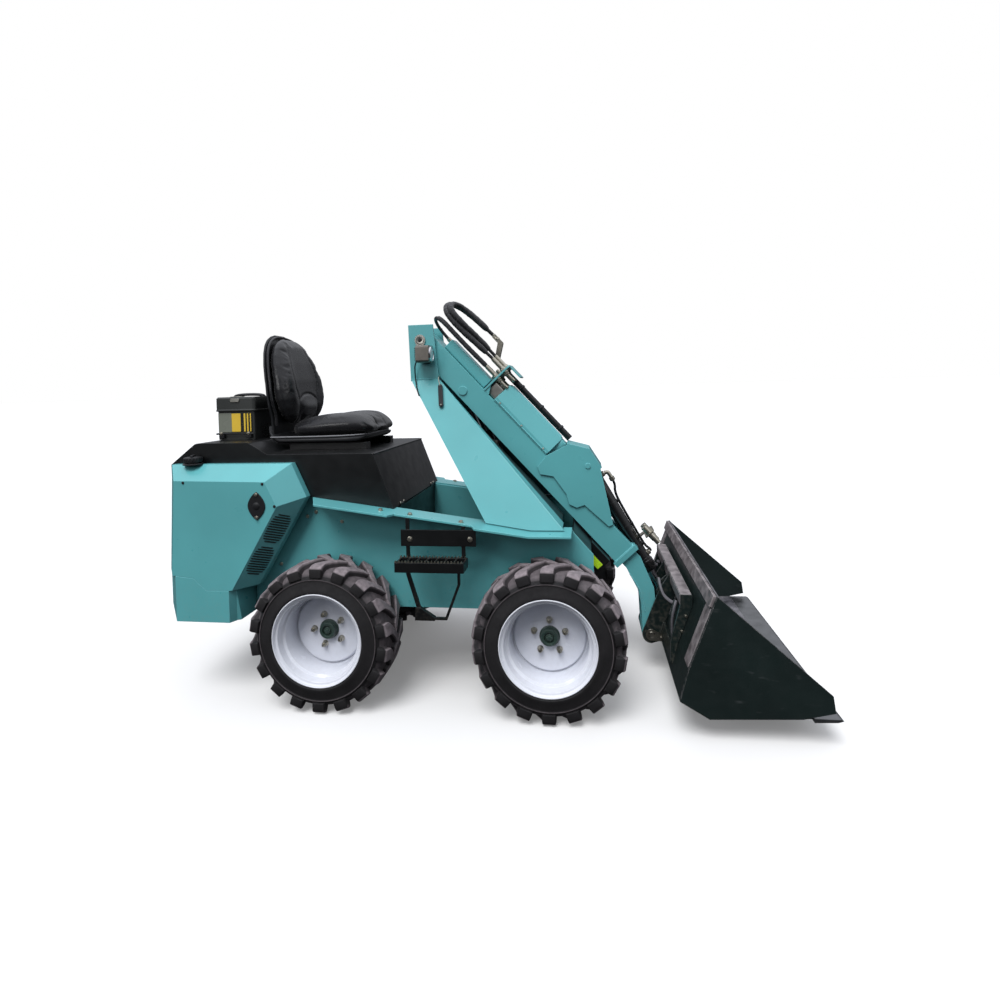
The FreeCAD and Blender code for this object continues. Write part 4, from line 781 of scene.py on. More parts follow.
class LOADER_OT_stage(bpy.types.Operator):
    """Sets up the pale floor, the soft lights and the camera"""

    bl_idname = "loader.stage"
    bl_label = "Stage"

    def execute(self, context):
        settings = context.scene.loader_stage
        turn = around(96)
        rim = np.stack([400 * np.cos(turn), 400 * np.sin(turn), np.zeros(96)], -1)
        mesh = bpy.data.meshes.new("studio_floor")
        mesh.from_pydata(rim.tolist(), [], [list(range(96))])
        mesh.materials.append(studio_floor(context))
        floor = bpy.data.objects.new("studio_floor", mesh)
        # The floor takes shadows, and doesn't light the machine from below.
        floor.visible_diffuse = False
        floor.visible_glossy = False
        context.scene.collection.objects.link(floor)

        data = bpy.data.cameras.new("camera")
        data.sensor_width = 36
        data.lens = settings.lens
        data.shift_y = settings.shift
        data.clip_end = 1000
        camera = bpy.data.objects.new("camera", data)
        right = Vector((0.989491, 0.141818, -0.028252))
        down = Vector((-0.025126, -0.023764, -0.999403))
        ahead = Vector((-0.142407, 0.989609, -0.019948))
        turned_to = Matrix((right, -down, -ahead)).transposed().to_4x4()
        camera.matrix_world = Matrix.Translation((0.4737, -2.6789, 1.2604)) @ turned_to
        context.scene.collection.objects.link(camera)
        context.scene.camera = camera

        # The top light gives no gloss of its own: the panels and the dome make the highlights.
        top = self.light(context, "top_light", "SUN", (-1.0, -3.8, 6.5), settings.top, angle=math.radians(34))
        top.visible_glossy = False
        self.light(context, "key_panel", "AREA", (-2.6, -4.4, 2.6), settings.key, size=1.2)
        self.light(context, "front_panel", "AREA", (3.6, -2.4, 2.6), settings.key * 0.4, size=1.4)
        world = bpy.data.worlds.new("studio")
        context.scene.world = world
        world.use_nodes = True
        tree = world.node_tree
        tree.nodes.clear()
        # A dome: dark below the horizon, dim at it, and brightest overhead. The camera sees it as white.
        upward = put(tree, "ShaderNodeSeparateXYZ", {0: put(tree, "ShaderNodeTexCoord").outputs["Generated"]})
        ground = ramp(tree, upward.outputs["Z"], -0.1, 0.06, 0.05, 0.17)
        dome = worked(tree, "ADD", ground, ramp(tree, upward.outputs["Z"], 0.1, 1.0, 0, settings.sky))
        seen = put(tree, "ShaderNodeLightPath").outputs["Is Camera Ray"]
        tint = blend(tree, seen, (0.97, 1.0, 1.08, 1), (1, 1, 1, 1))
        strength = put(tree, "ShaderNodeMix", {0: seen, 2: dome, 3: 1.0}, data_type="FLOAT").outputs[0]
        sky = put(tree, "ShaderNodeBackground", {"Color": tint, "Strength": strength})
        put(tree, "ShaderNodeOutputWorld", {"Surface": sky.outputs[0]})
        context.scene.view_settings.view_transform = "Standard"
        return {"FINISHED"}

    def light(self, context, name, kind, place, power, angle=None, size=None):
        """Adds a light that faces the middle of the machine."""
        data = bpy.data.lights.new(name, kind)
        data.energy = power
        if size:
            data.size = size
        if angle:
            data.angle = angle
        made = bpy.data.objects.new(name, data)
        made.location = place
        made.rotation_mode = "QUATERNION"
        made.rotation_quaternion = (Vector((0, 0, 0.6)) - Vector(place)).to_track_quat("-Z", "Y")
        context.scene.collection.objects.link(made)
        return made


# Each point of a hose, in metres: along the boom from its pivot, across it, and above its centre line.
OUTER_HOSE = ((0.200, 0.066, 0.246), (0.102, 0.069, 0.242), (0, 0.072, 0.230), (-0.0448, 0.031, 0.2118),
              (-0.0448, -0.027, 0.1862), (0, -0.068, 0.168), (0.100, -0.070, 0.166), (0.198, -0.063, 0.174),
              (0.292, -0.060, 0.178))
INNER_HOSE = ((0.200, 0.044, 0.249), (0.106, 0.046, 0.247), (0.008, 0.050, 0.236), (-0.030, 0.0143, 0.2231),
              (-0.030, -0.0362, 0.2049), (0.008, -0.072, 0.192), (0.098, -0.066, 0.191),
              (0.192, -0.036, 0.194), (0.288, -0.030, 0.192))
LOWER_HOSE = ((0.296, -0.062, 0.134), (0.202, -0.064, 0.1315), (0.102, -0.068, 0.132), (0, -0.067, 0.134),
              (-0.0418, -0.0281, 0.1188), (-0.0418, 0.027, 0.0973), (0, 0.066, 0.082),
              (0.054, 0.0655, 0.0805))


class LOADER_OT_hoses(bpy.types.Operator):
    """Makes the three hydraulic hoses that loop back over the boom's pivot"""

    bl_idname = "loader.hoses"
    bl_label = "Hoses"

    def execute(self, context):
        for node, route, long_way in (("hose_outer", OUTER_HOSE, 0.672), ("hose_inner", INNER_HOSE, 0.628),
                                      ("hose_lower", LOWER_HOSE, 0.517)):
            curve = bpy.data.curves.new(node + "_rubber", "CURVE")
            curve.dimensions = "3D"
            curve.bevel_depth = 0.0075
            curve.bevel_resolution = 5
            curve.use_fill_caps = True
            line = curve.splines.new("NURBS")
            points = boomed(np.array(route) / MM) * MM
            line.points.add(len(points) - 1)
            line.points.foreach_set("co", np.column_stack([points, np.ones(len(points))]).ravel())
            line.order_u = 3
            line.use_endpoint_u = True
            line.resolution_u = 12
            curve.materials.append(hose_rubber(context))
            made = bpy.data.objects.new(node + "_rubber", curve)
            context.scene.collection.objects.link(made)
            sleeve = self.sleeve(context, node, points / MM)
            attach(made, "boom")
            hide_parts(node)
        return {"FINISHED"}

    def sleeve(self, context, node, points):
        """A loose sleeve along a hose. Its radius wrinkles as two sines of the place along it, and it is
        gathered at both ends; each end has a crimped ferrule."""
        path = spline(points, 150)
        # The lower hose's sleeve covers its first half, and the others' end just short of the ferrules.
        if node == "hose_lower":
            path = path[:78]
        else:
            path = path[5:-5]
        part = np.linspace(0, 1, len(path))
        wrinkle = 1 + 0.045 * np.sin(part * 83) * np.sin(part * 31 + 1) + 0.02 * np.sin(part * 190)
        gather = 1 - 0.3 * np.exp(-np.minimum(part, 1 - part) * 90)
        radius = 11.2 if node == "hose_lower" else 13.6
        sleeve = piece(node + "_sleeve", [tube(path, radius * wrinkle * gather, 16, (0.01, 1, 0.02))],
                       nylon_sleeve(context), "boom", 50)
        crimp = turned([(7.7, -4), (9.4, -3), (9.4, 3), (8.9, 4), (9.4, 5), (9.4, 11), (8.9, 12), (9.4, 13),
                        (9.4, 20), (10.8, 21), (10.8, 29), (8.6, 31)], 24)
        ends = [placed(crimp, points[at], points[at] - points[beside]) for at, beside in ((0, 1), (-1, -2))]
        piece(node + "_ferrules", ends, zinc(context), "boom")
        return sleeve


# Nodes whose finish isn't the one of their record's slot.
NODE_FINISHES = {"coupler": coupler_enamel, "work_light": lamp_housing}


class LOADER_OT_cad_finishes(bpy.types.Operator):
    """Gives every construction piece its finish"""

    bl_idname = "loader.cad_finishes"
    bl_label = "Finishes"

    def execute(self, context):
        for row in frame["record"]["subparts"]:
            material = NODE_FINISHES.get(row["node"], CAD_FINISHES[row["material_slot"]])(context)
            for slot in frame["nodes"][row["node"]].material_slots:
                slot.material = material
        return {"FINISHED"}


WHEELS = tuple(end + "_" + word for end in ("front", "rear") for word in ("right", "left"))


def wheel_centre(name):
    """The middle of a wheel in millimetres, and the side of the machine that it is on."""
    low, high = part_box("tyre_" + name)
    side = -1 if name.endswith("right") else 1
    return np.array(((low.x + high.x) / 2, 0.0, (low.z + high.z) / 2)) / MM, side


# Millimetres from the plane of symmetry to the tread's middle, and to the flange that the nuts stand on.
HALF_TRACK = 447
FLANGE_OUT = 429.0
NUT_CIRCLE = 63.5


def wheel_rings(section, side, count):
    """A wheel's section, in rows of millimetres outward and from the axle, turned round the axle."""
    turn = around(count)[:, None]
    outward = np.broadcast_to(side * section[:, 0], (count, len(section)))
    return np.stack([section[:, 1] * np.sin(turn), outward, section[:, 1] * np.cos(turn)], -1)


# The tyre's section: millimetres outward from the tread's middle, and from the axle.
CASING = np.array(((-94.5, 171), (-96.5, 176.5), (-99.5, 183.5), (-102.5, 186.5), (-103.5, 191), (-101, 204),
                   (-100, 215), (-98, 228), (-94, 241), (-89, 252), (-81, 262), (-66, 269), (-40, 273), (0, 274.5),
                   (40, 273), (66, 269), (81, 262.5), (90, 254), (95, 246), (98, 241), (102.5, 240), (102.5, 236.5),
                   (99.5, 235), (101.5, 224), (106, 206), (109.5, 196), (110, 191), (107, 187), (101, 184.6),
                   (97.8, 178), (95.5, 171.5)))
# For each point of the casing: scuff and painted highlight on the crown, a painted highlight on the ring rib by the
# rim, 0.4 on the ribbed band.
CASING_WEAR_AND_LIGHT = np.array((0, 0, 0, 0, 0, .4, .4, 0, .4, .7, .7, .7, .7, .7, .7, .7, .7, .6, .3, .1, .62, .62, 0, .4, .4,
                        .4, 0, 0, 0, 0, 0))
LUG_TOP = np.array(((-7, 294.3), (10, 295), (30, 295), (48, 294.8), (62, 294.2), (74, 293), (84, 291.2),
                    (92, 288.6), (98.5, 285), (102, 279), (103.8, 269), (104.6, 259), (105, 249)))
LUG_FOOT = np.array(((-7, 271), (10, 272), (30, 271), (48, 269), (60, 267), (69, 264.5), (76, 260.5),
                     (81, 257), (85, 254), (88, 251.5), (90, 249.5), (92, 248), (94, 246)))


class LOADER_OT_tyres(bpy.types.Operator):
    """Makes the four lugged tyres"""

    bl_idname = "loader.tyres"
    bl_label = "Tyres"

    def lug(self, side, start, sizes):
        """One lug. Its section is carried outward over the tread and down the shoulder: the foot and the top
        are given by distance from the middle, and the section leads by a lean that fades to none at the
        shoulder, as the softened ramp 8 ln(1 + exp((62 - across) / 8)) scaled to the lean."""
        stations = np.linspace(0, len(LUG_TOP) - 1, 27)
        at = np.arange(len(LUG_TOP))
        top = np.stack([np.interp(stations, at, LUG_TOP[:, way]) for way in (0, 1)], -1)
        foot = np.stack([np.interp(stations, at, LUG_FOOT[:, way]) for way in (0, 1)], -1)
        ahead = 8 * np.log1p(np.exp((62 - top[:, 0]) / 8)) * sizes.lug_lean / 62 + 3
        broad = sizes.lug_width / 2 * np.interp(top[:, 0], (0, 40, 62, 78, 100), (0.66, 0.72, 0.88, 1, 1))
        # Across the section: foot, side, bevel, top, top, bevel, side, foot.
        sideways = np.array((-1.24, -1.1, -0.98, -0.9, 0.9, 0.98, 1.1, 1.24))
        up = np.array((0.0, 0.6, 0.94, 1.0, 1.0, 0.94, 0.6, 0.0))
        place = foot[:, None] + (top - foot)[:, None] * up[:, None]
        angle = start + (ahead[:, None] + broad[:, None] * sideways) / 290
        # A top is painted lighter the higher it stands above 277 mm from the axle: scuff, and a painted highlight
        # from above.
        wear_and_painted_light = np.broadcast_to((0.55, 0.5, 0.9, 1, 1, 0.9, 0.5, 0.55), place.shape[:2]) * np.clip(
            (top[:, 1:] - 277) / 7, 0, 1)
        ring = np.stack([place[..., 1] * np.sin(angle), side * place[..., 0],
                         place[..., 1] * np.cos(angle)], -1)
        return skin(ring, wear_and_painted_light)

    def execute(self, context):
        sizes = context.scene.loader_sizes
        pitch = 2 * math.pi / sizes.lugs
        for name in WHEELS:
            centre, side = wheel_centre(name)
            middle = centre + (0, side * HALF_TRACK, 0)
            # The section closes on itself under the beads, so the tyre is a ring.
            parts = [skin(wheel_rings(CASING, side, 144), CASING_WEAR_AND_LIGHT, closed=True)]
            for number in range(sizes.lugs):
                parts.append(self.lug(side, pitch * number, sizes))
                parts.append(self.lug(-side, pitch * (number + 0.5), sizes))
            parts = [(points + middle, quads, wear_and_painted_light) for points, quads, wear_and_painted_light in parts]
            made = piece("tyre_rubber_" + name, parts, tyre_rubber(context), "wheel_" + name, 30)
            self.wrap(made.data, middle)
            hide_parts("tyre_" + name)
        return {"FINISHED"}

    def wrap(self, mesh, middle):
        """A UV map of the tyre: the angle times 0.29 m along, and the distance from the axle across."""
        points = vertex_rows(mesh) - middle * MM
        loops = np.empty(len(mesh.loops), int)
        mesh.loops.foreach_get("vertex_index", loops)
        angle = np.arctan2(points[:, 0], points[:, 2]) * 0.29
        radius = np.hypot(points[:, 0], points[:, 2])
        layer = mesh.uv_layers.new(name="wrap")
        layer.data.foreach_set("uv", np.stack([angle, radius], -1)[loops].ravel().astype(np.float32))


# The rim's closed section: millimetres outward from the tread's middle, and from the axle. It runs from the
# outer lip over the bead seat, down the well to the disc, through the hub's hole, and back outside.
RIM = np.array(((103, 184.5), (107.5, 184.75), (109, 183.2), (109, 181.2), (107.6, 179.6), (101, 178), (97.5, 174.5),
                (96.5, 169.5), (95, 167), (92, 166), (72, 164), (66, 161.5), (63, 156), (61, 152.8), (55, 151),
                (8, 149.6), (-24, 149), (-29, 147.5), (-30, 144.5), (-26, 141.5), (-20.5, 139), (-18, 135), (-18, 90),
                (-18, 36.5), (-19.5, 35.2), (-25, 35.2), (-26, 36.5), (-26, 132), (-34, 146), (-38, 153.5),
                (-60, 156), (-92, 160), (-96, 166), (-98, 176), (-102, 179.5), (-109, 181.5), (-109, 183.5),
                (-107, 184.75), (-103, 184.5), (-100, 182), (-97, 174), (-95, 169), (-60, 164), (-46, 158),
                (40, 158), (56, 162), (70, 168), (95, 170), (97, 176), (99.5, 182)))


class LOADER_OT_rims(bpy.types.Operator):
    """Makes the four deep wheel rims"""

    bl_idname = "loader.rims"
    bl_label = "Rims"

    def execute(self, context):
        for name in WHEELS:
            centre, side = wheel_centre(name)
            points, quads, wear_and_painted_light = skin(wheel_rings(RIM, side, 120), closed=True)
            made = piece("rim_shell_" + name, [(points + centre + (0, side * HALF_TRACK, 0), quads, wear_and_painted_light)],
                         rim_enamel(context), "wheel_" + name, 32)
            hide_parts("rim_" + name)
        return {"FINISHED"}


class LOADER_OT_wheel_hardware(bpy.types.Operator):
    """Makes the wheel nuts, the hub caps with their castle nuts, and the valves"""

    bl_idname = "loader.wheel_hardware"
    bl_label = "Wheel hardware"

    def execute(self, context):
        sizes = context.scene.loader_sizes
        for name in WHEELS:
            centre, side = wheel_centre(name)
            out = (0, side, 0)
            first = math.pi / 2 if name.startswith("front") else math.pi
            angles = first + around(5)
            spots = centre + np.stack([NUT_CIRCLE * np.cos(angles), np.full(5, side * FLANGE_OUT),
                                       NUT_CIRCLE * np.sin(angles)], -1)
            cone = turned([(12.5, 0), (13, 1.5), (10.5, 5), (10, 6)], 20)
            nut = bolt(sizes.wheel_nut, 15, washer=False, stud=9)
            parts = copies(cone, spots, out) + copies(nut, spots + np.array(out) * 4, out)
            fore = np.array((math.sin(0.45), 0, math.cos(0.45)))
            foot = centre + fore * 145 + (0, side * 423.0, 0)
            parts.append(placed(turned([(4, 0), (4, 24), (5, 25), (5, 36), (3.5, 38)], 12), foot, out))
            piece("wheel_nuts_" + name, parts, zinc(context), "wheel_" + name)
            face = centre + (0, side * 445.0, 0)
            ring = turned([(20, -2), (20, 2), (21, 9), (24.5, 10.5), (30, 10.5), (33.5, 7.5), (34, 4), (34, 0.2)], 40)
            collar = turned([(40, -15.5), (40, -11), (37, -8.5), (35, -8)], 40)
            castle = bolt(25, 7, washer=True, stud=4)
            slots = [placed(tile(4, 6, 1, 4, 0.5, steps=3), (9.5 * math.cos(turn), 9.5 * math.sin(turn), 5.5))
                     for turn in around(6)]
            parts = [placed(part, face, out) for part in [ring, collar, castle] + slots]
            piece("hub_cap_" + name, parts, hub_iron(context), "wheel_" + name)
        return {"FINISHED"}


def vertex_rows(mesh):
    """The places of a mesh's vertices, a row for each."""
    rows = np.empty(len(mesh.vertices) * 3)
    mesh.vertices.foreach_get("co", rows)
    return rows.reshape(-1, 3)


def inflate(context, made, voxel, cap):
    """Swells a closed pad: it is remeshed, blown up as cloth for twenty frames, and moved at most by the cap."""
    remesh = made.modifiers.new("cells", "REMESH")
    remesh.mode = "VOXEL"
    remesh.voxel_size = voxel * MM
    settle(context, made)
    start = vertex_rows(made.data)
    cloth = made.modifiers.new("cloth", "CLOTH")
    cloth.settings.use_pressure = True
    cloth.settings.uniform_pressure_force = 4
    cloth.settings.quality = 5
    cloth.settings.effector_weights.gravity = 0
    for number in range(1, 21):
        context.scene.frame_set(number)
    move = vertex_rows(made.evaluated_get(context.evaluated_depsgraph_get()).data) - start
    made.modifiers.clear()
    context.scene.frame_set(1)
    far = np.linalg.norm(move, axis=1, keepdims=True)
    move *= np.minimum(1, cap * MM / np.maximum(far, 1e-9))
    made.data.vertices.foreach_set("co", (start + move).ravel())
    made.data.update()


def settle(context, made):
    """Applies an object's modifiers to its mesh."""
    shown = made.evaluated_get(context.evaluated_depsgraph_get())
    mesh = bpy.data.meshes.new_from_object(shown)
    made.modifiers.clear()
    made.data = mesh


def signed_power(value, power):
    """Raises the size of a value to a power and keeps its sign."""
    return np.sign(value) * np.abs(value) ** power


class LOADER_OT_seat(bpy.types.Operator):
    """Makes the seat's cushion and backrest as stuffed, sewn pads, and the welt round its shell"""

    bl_idname = "loader.seat"
    bl_label = "Seat"

    def cushion_rings(self):
        """Sections across the cushion, from back to front: a superellipse whose upper half rises into two
        bolsters at the sides, and falls away in a waterfall of two lobes at the front."""
        along = np.linspace(0, 1, 44)[:, None]
        turn = around(72)[None]
        x = -862 + 388 * along
        half = 216 * (1 - (2 * np.abs(along - 0.5)) ** 8 * 0.3) * (0.94 + 0.06 * np.sin(along * math.pi))
        foot = 1067 + 14 * along ** 6
        top = 1130 + 20 * along + 12 * np.sin(along ** 1.4 * math.pi)
        top = foot + (top - foot) * (1 - np.clip((along - 0.74) / 0.26, 0, 1) ** 3 * 0.55)
        middle = (top + foot) / 2
        tall = (top - foot) / 2
        across = half * signed_power(np.cos(turn), 0.55)
        rise = middle + tall * signed_power(np.sin(turn), 0.6)
        share = np.abs(across) / 214
        upper = np.clip(np.sin(turn), 0, 1)
        lobe = np.exp(-((share - 0.66) / 0.26) ** 2)
        rise = rise + upper * (20 * lobe * np.sin(np.clip(along * 1.05, 0, 1) * math.pi) ** 0.6 - 6)
        # The front edge is drawn back in the middle, between the lobes.
        x = x - np.exp(-(across / 58) ** 2) * 34 * along ** 9 + 0 * turn
        return np.stack([np.broadcast_to(x, rise.shape), across, rise], -1)

    OUTLINE = np.array(((0, .5), (.04, .68), (.1, .82), (.18, .93), (.28, .99), (.4, 1), (.55, .965), (.68, .9),
                        (.8, .8), (.88, .69), (.94, .55), (.98, .38), (1, .2)))

    def lean(self, up):
        """How far back the backrest's middle lies at a share of its height."""
        return np.interp(up, (0, 0.2, 0.5, 0.85, 1), (-887, -889, -905, -936, -950))

    def back_rings(self):
        """Sections up the backrest: an egg outline, wide low down, with bolsters forward at both sides."""
        up = np.linspace(0, 1, 54)[:, None] ** 0.9
        turn = around(72)[None]
        z = 1120 + 412 * up
        half = 208 * np.interp(up, self.OUTLINE[:, 0], self.OUTLINE[:, 1])
        thick = np.interp(up, (0, .1, .3, .7, .9, .97, 1), (20, 38, 43, 38, 32, 22, 8))
        across = half * signed_power(np.cos(turn), 0.62)
        depth = thick * signed_power(np.sin(turn), 0.62)
        share = np.abs(across) / np.maximum(half, 1)
        face = np.clip(np.sin(turn), 0, 1)
        bolster = np.exp(-((share - 0.74) / 0.2) ** 2) * 20 * np.sin(np.clip(up * 1.2, 0, 1) * math.pi) ** 0.6
        lumbar = np.exp(-((up - 0.17) / 0.1) ** 2) * np.exp(-(share / 0.42) ** 4) * 18
        x = self.lean(up) + depth + face * (bolster + lumbar - 9)
        return np.stack([x, across, np.broadcast_to(z, x.shape)], -1)

    def shell_rings(self, back, grow, thick, low, high):
        """Sections up the shell behind the backrest: the same outline, grown a little and set back."""
        up = np.linspace(0, 1, 50)[:, None] ** 0.9
        turn = around(64)[None]
        # Below three tenths of its height the shell stays wide, where the backrest narrows to its foot.
        share, breadth = self.OUTLINE.T
        low_down = np.maximum(breadth, np.interp(share, (0, .3), (.92, .9)))
        half = (208 + grow) * np.where(up > 0.3, np.interp(up, share, breadth), np.interp(up, share, low_down))
        edge = np.interp(up, (0, .9, 1), (1, 1, 0.4))
        across = half * signed_power(np.cos(turn), 0.4)
        x = self.lean(up) - back + thick * edge * signed_power(np.sin(turn), 0.5)
        z = low + (high - low) * up
        return np.stack([x, across, np.broadcast_to(z, x.shape)], -1)

    def tray_rings(self):
        """Sections across the tray under the cushion, from the shell's foot to the front, where it rises."""
        along = np.linspace(0, 1, 40)[:, None]
        turn = around(64)[None]
        x = -968 + 470 * along
        half = 222 * (1 - (2 * np.abs(along - 0.5)) ** 10 * 0.25)
        foot = 1038 + 60 * np.clip((0.16 - along) / 0.16, 0, 1) ** 2 + 16 * np.clip((along - 0.9) / 0.1, 0, 1) ** 2
        top = 1066 + 52 * np.clip((0.2 - along) / 0.2, 0, 1) ** 2 + 4 * along
        across = half * signed_power(np.cos(turn), 0.35)
        z = (top + foot) / 2 + (top - foot) / 2 * signed_power(np.sin(turn), 0.5)
        return np.stack([np.broadcast_to(x, z.shape), across, z], -1)

    def crease_and_painted_shade(self, made, lines, width, depth, push):
        """Sews creases: each vertex near a line sinks by the depth times exp(-(distance / width) squared). The
        same amount is kept as an attribute that paints the creases darker, as painted shade.
        """
        mesh = made.data
        points = vertex_rows(mesh)
        sunk = np.zeros(len(points))
        for line, facing in lines:
            samples = spline(line, 60) * MM
            gap = np.sqrt(((points[:, None, facing] - samples[None, :, facing]) ** 2).sum(-1)).min(1)
            sunk = np.maximum(sunk, np.exp(-(gap / (width * MM)) ** 2))
        normals = np.empty(len(points) * 3)
        mesh.vertex_normals.foreach_get("vector", normals)
        normals = normals.reshape(-1, 3)
        faced = np.clip(normals @ np.array(push), 0, 1) ** 0.5
        mesh.vertices.foreach_set("co", (points - normals * (sunk * faced)[:, None] * depth * MM).ravel())
        # This attribute paints the creases darker: painted shade.
        layer = mesh.attributes.new("crease_and_painted_shade", "FLOAT", "POINT")
        layer.data.foreach_set("value", (sunk * faced).astype(np.float32))
        mesh.update()

    def pad(self, context, name, rings, node, lines, push):
        """Makes one pad: it is skinned over its rings, swelled, creased along its lines with painted shade in the
        creases, and smoothed.
        """
        made = piece(name, [skin(rings)], seat_vinyl(context), "frame", 60)
        inflate(context, made, 6, 7)
        if not made.data.materials:
            made.data.materials.append(seat_vinyl(context))
        self.crease_and_painted_shade(made, lines, 5, 6, push)
        made.data.polygons.foreach_set("use_smooth", np.ones(len(made.data.polygons), bool))
        finer = made.modifiers.new("smooth", "SUBSURF")
        finer.levels = finer.render_levels = 1
        settle(context, made)
        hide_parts(node)
        return made

    def execute(self, context):
        cushion_lines = [
            (((-845, side * 70, 0), (-760, side * 118, 0), (-640, side * 128, 0), (-540, side * 96, 0),
              (-488, side * 60, 0)), (0, 1)) for side in (-1, 1)]
        cushion_lines.append((((-560, 0, 0), (-540, 0, 0), (-500, 0, 0), (-476, 0, 0)), (0, 1)))
        self.pad(context, "seat_cushion_pad", self.cushion_rings(), "seat_cushion", cushion_lines, UP)
        back_lines = [
            (((0, side * 66, 1500), (0, side * 108, 1420), (0, side * 116, 1310), (0, side * 88, 1240),
              (0, side * 92, 1130)), (1, 2)) for side in (-1, 1)]
        back_lines.append((((0, -84, 1235), (0, -50, 1262), (0, 50, 1262), (0, 84, 1235)), (1, 2)))
        self.pad(context, "seat_back_pad", self.back_rings(), "seat_backrest", back_lines, (1, 0, 0.2))
        shell = [skin(self.shell_rings(44, 12, 9, 1072, 1546)), skin(self.tray_rings())]
        made = piece("seat_shell", shell, black_plastic(context), "frame", 50)
        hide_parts("seat_pan")
        up = np.linspace(0.02, 1, 40)
        half = 215 * np.interp(up, self.OUTLINE[:, 0], self.OUTLINE[:, 1])
        half[up < 0.3] = np.maximum(half[up < 0.3], 196)
        side = np.stack([self.lean(up) - 27, half, 1100 + 440 * up], -1)
        round_top = np.concatenate([side, (side * (1, -1, 1))[::-1]])
        piping = tube(spline(round_top[::2], 140), 5.5, 12, (1, 0.02, 0.03))
        piece("seat_piping", [piping], seat_vinyl(context), "frame")
        # A trim runs round the tray's lip, from one side of the shell to the other; it is pale grey as a painted
        # highlight along the lip.
        turn = np.linspace(0, math.pi, 90)[:, None]
        lip = np.concatenate([-930 + 430 * np.abs(np.sin(turn)) ** 0.35, 223 * signed_power(np.cos(turn), 0.3),
                              1068 + 4 * np.sin(turn)], axis=1)
        piece("seat_trim_highlight", [tube(lip, 3.4, 10, UP)], lip_trim_with_highlight(context), "frame")
        return {"FINISHED"}


def sill_height(x):
    """The height of the sills' upper face at a place along the machine."""
    return np.interp(x, (-611, 252, 413), (816, 693, 693))


class LOADER_OT_frame_bolts(bpy.types.Operator):
    """Makes the bolts and screws of the frame, sills, steps, pods and tower"""

    bl_idname = "loader.frame_bolts"
    bl_label = "Frame bolts"

    def execute(self, context):
        sizes = context.scene.loader_sizes
        head = bolt(sizes.frame_bolt, 8, 12)
        small = bolt(11, 6, 12)
        button = screw(sizes.screw)
        parts = []
        on_sill = np.array([(x, -416.0, sill_height(x)) for x in (-355, -232, -23)])
        # The sills' upper faces fall 123 mm over the 863 mm from the bonnet to the footwell's front.
        slope = math.atan2(123, 863)
        parts += copies(head, on_sill, (math.sin(slope), 0, math.cos(slope)))
        parts += copies(head, [(-226, -445, 671), (18, -445, 671)], RIGHT)
        parts += copies(small, [(-715, -325, 734), (-675, -325, 753), (-842, -325, 527), (-560, -325, 712)],
                        RIGHT)
        parts += copies(small, [(-855, -484.5, 857), (-855, -484.5, 763)], RIGHT)
        piece("frame_bolts", mirrored(parts), zinc(context), "frame")

        # The strips' screws run down both folds of the tower, below the boom: 12 mm inside each fold, which
        # spreads from 119 mm off the middle to 310 mm over 708 mm.
        along = np.arange(330, 960, sizes.strip_pitch)
        spread = 119 + (along - 300) * (310 - 119) / 708 - 12
        spots = boomed(np.stack([along, -spread, np.full(len(along), -68.1)], -1))
        piece("strip_screws", mirrored(copies(button, spots, BOOM_UP)), zinc(context), "frame")
        return {"FINISHED"}


class LOADER_OT_pins(bpy.types.Operator):
    """Makes the boom's and the bucket's pins with their keepers"""

    bl_idname = "loader.pins"
    bl_label = "Pins"

    def execute(self, context):
        pin = turned([(9, -99.5), (17, -101), (19.95, -99), (19.95, 99), (17, 101), (9, 99.5)], 48)
        parts = [placed(pin, BOOM_PIVOT, LEFT)]
        for side in (-1, 1):
            # Upward times outward gives the keeper's own x, which points down.
            parts.append(placed(keeper(25, 6, 52, 5.7), BOOM_PIVOT + (0, side * 93.3, 0), (0, side, 0),
                                (-side, 0, 0)))
            parts.append(placed(bolt(11, 5, 12), BOOM_PIVOT + (0, side * 99, -47), (0, side, 0)))
        made = piece("pivot_pin_and_keepers", parts, keeper_steel(context), "frame")
        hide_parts("boom_pivot_pin")
        # Black discs fill the pins' end recesses: painted shade of their holes.
        hole_shade = [placed(turned([(9.5, -3), (9.5, 1.2), (7, 1.6)], 24), BOOM_PIVOT + (0, side * 99.6, 0), (0, side, 0))
                for side in (-1, 1)]
        piece("pivot_pin_hole_shades", hole_shade, black_plastic(context), "frame")

        pin = turned([(8, -101.5), (13, -103), (14.95, -101), (14.95, 101), (13, 103), (8, 101.5)], 40)
        parts = [placed(pin, BUCKET_PIN, LEFT)]
        slope = math.radians(-16)
        along = np.array((math.cos(slope), 0, math.sin(slope)))
        for side in (-1, 1):
            upward = np.cross((0, side, 0), along)
            parts.append(placed(keeper(25, 15, 44, 5.7), BUCKET_PIN + (0, side * 94.3, 0), (0, side, 0), upward))
            parts.append(placed(bolt(15, 8, 12), BUCKET_PIN + along * 44 + (0, side * 100, 0), (0, side, 0)))
        made = piece("bucket_pin_and_keepers", parts, zinc(context), "bucket")
        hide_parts("bucket_pin")
        return {"FINISHED"}


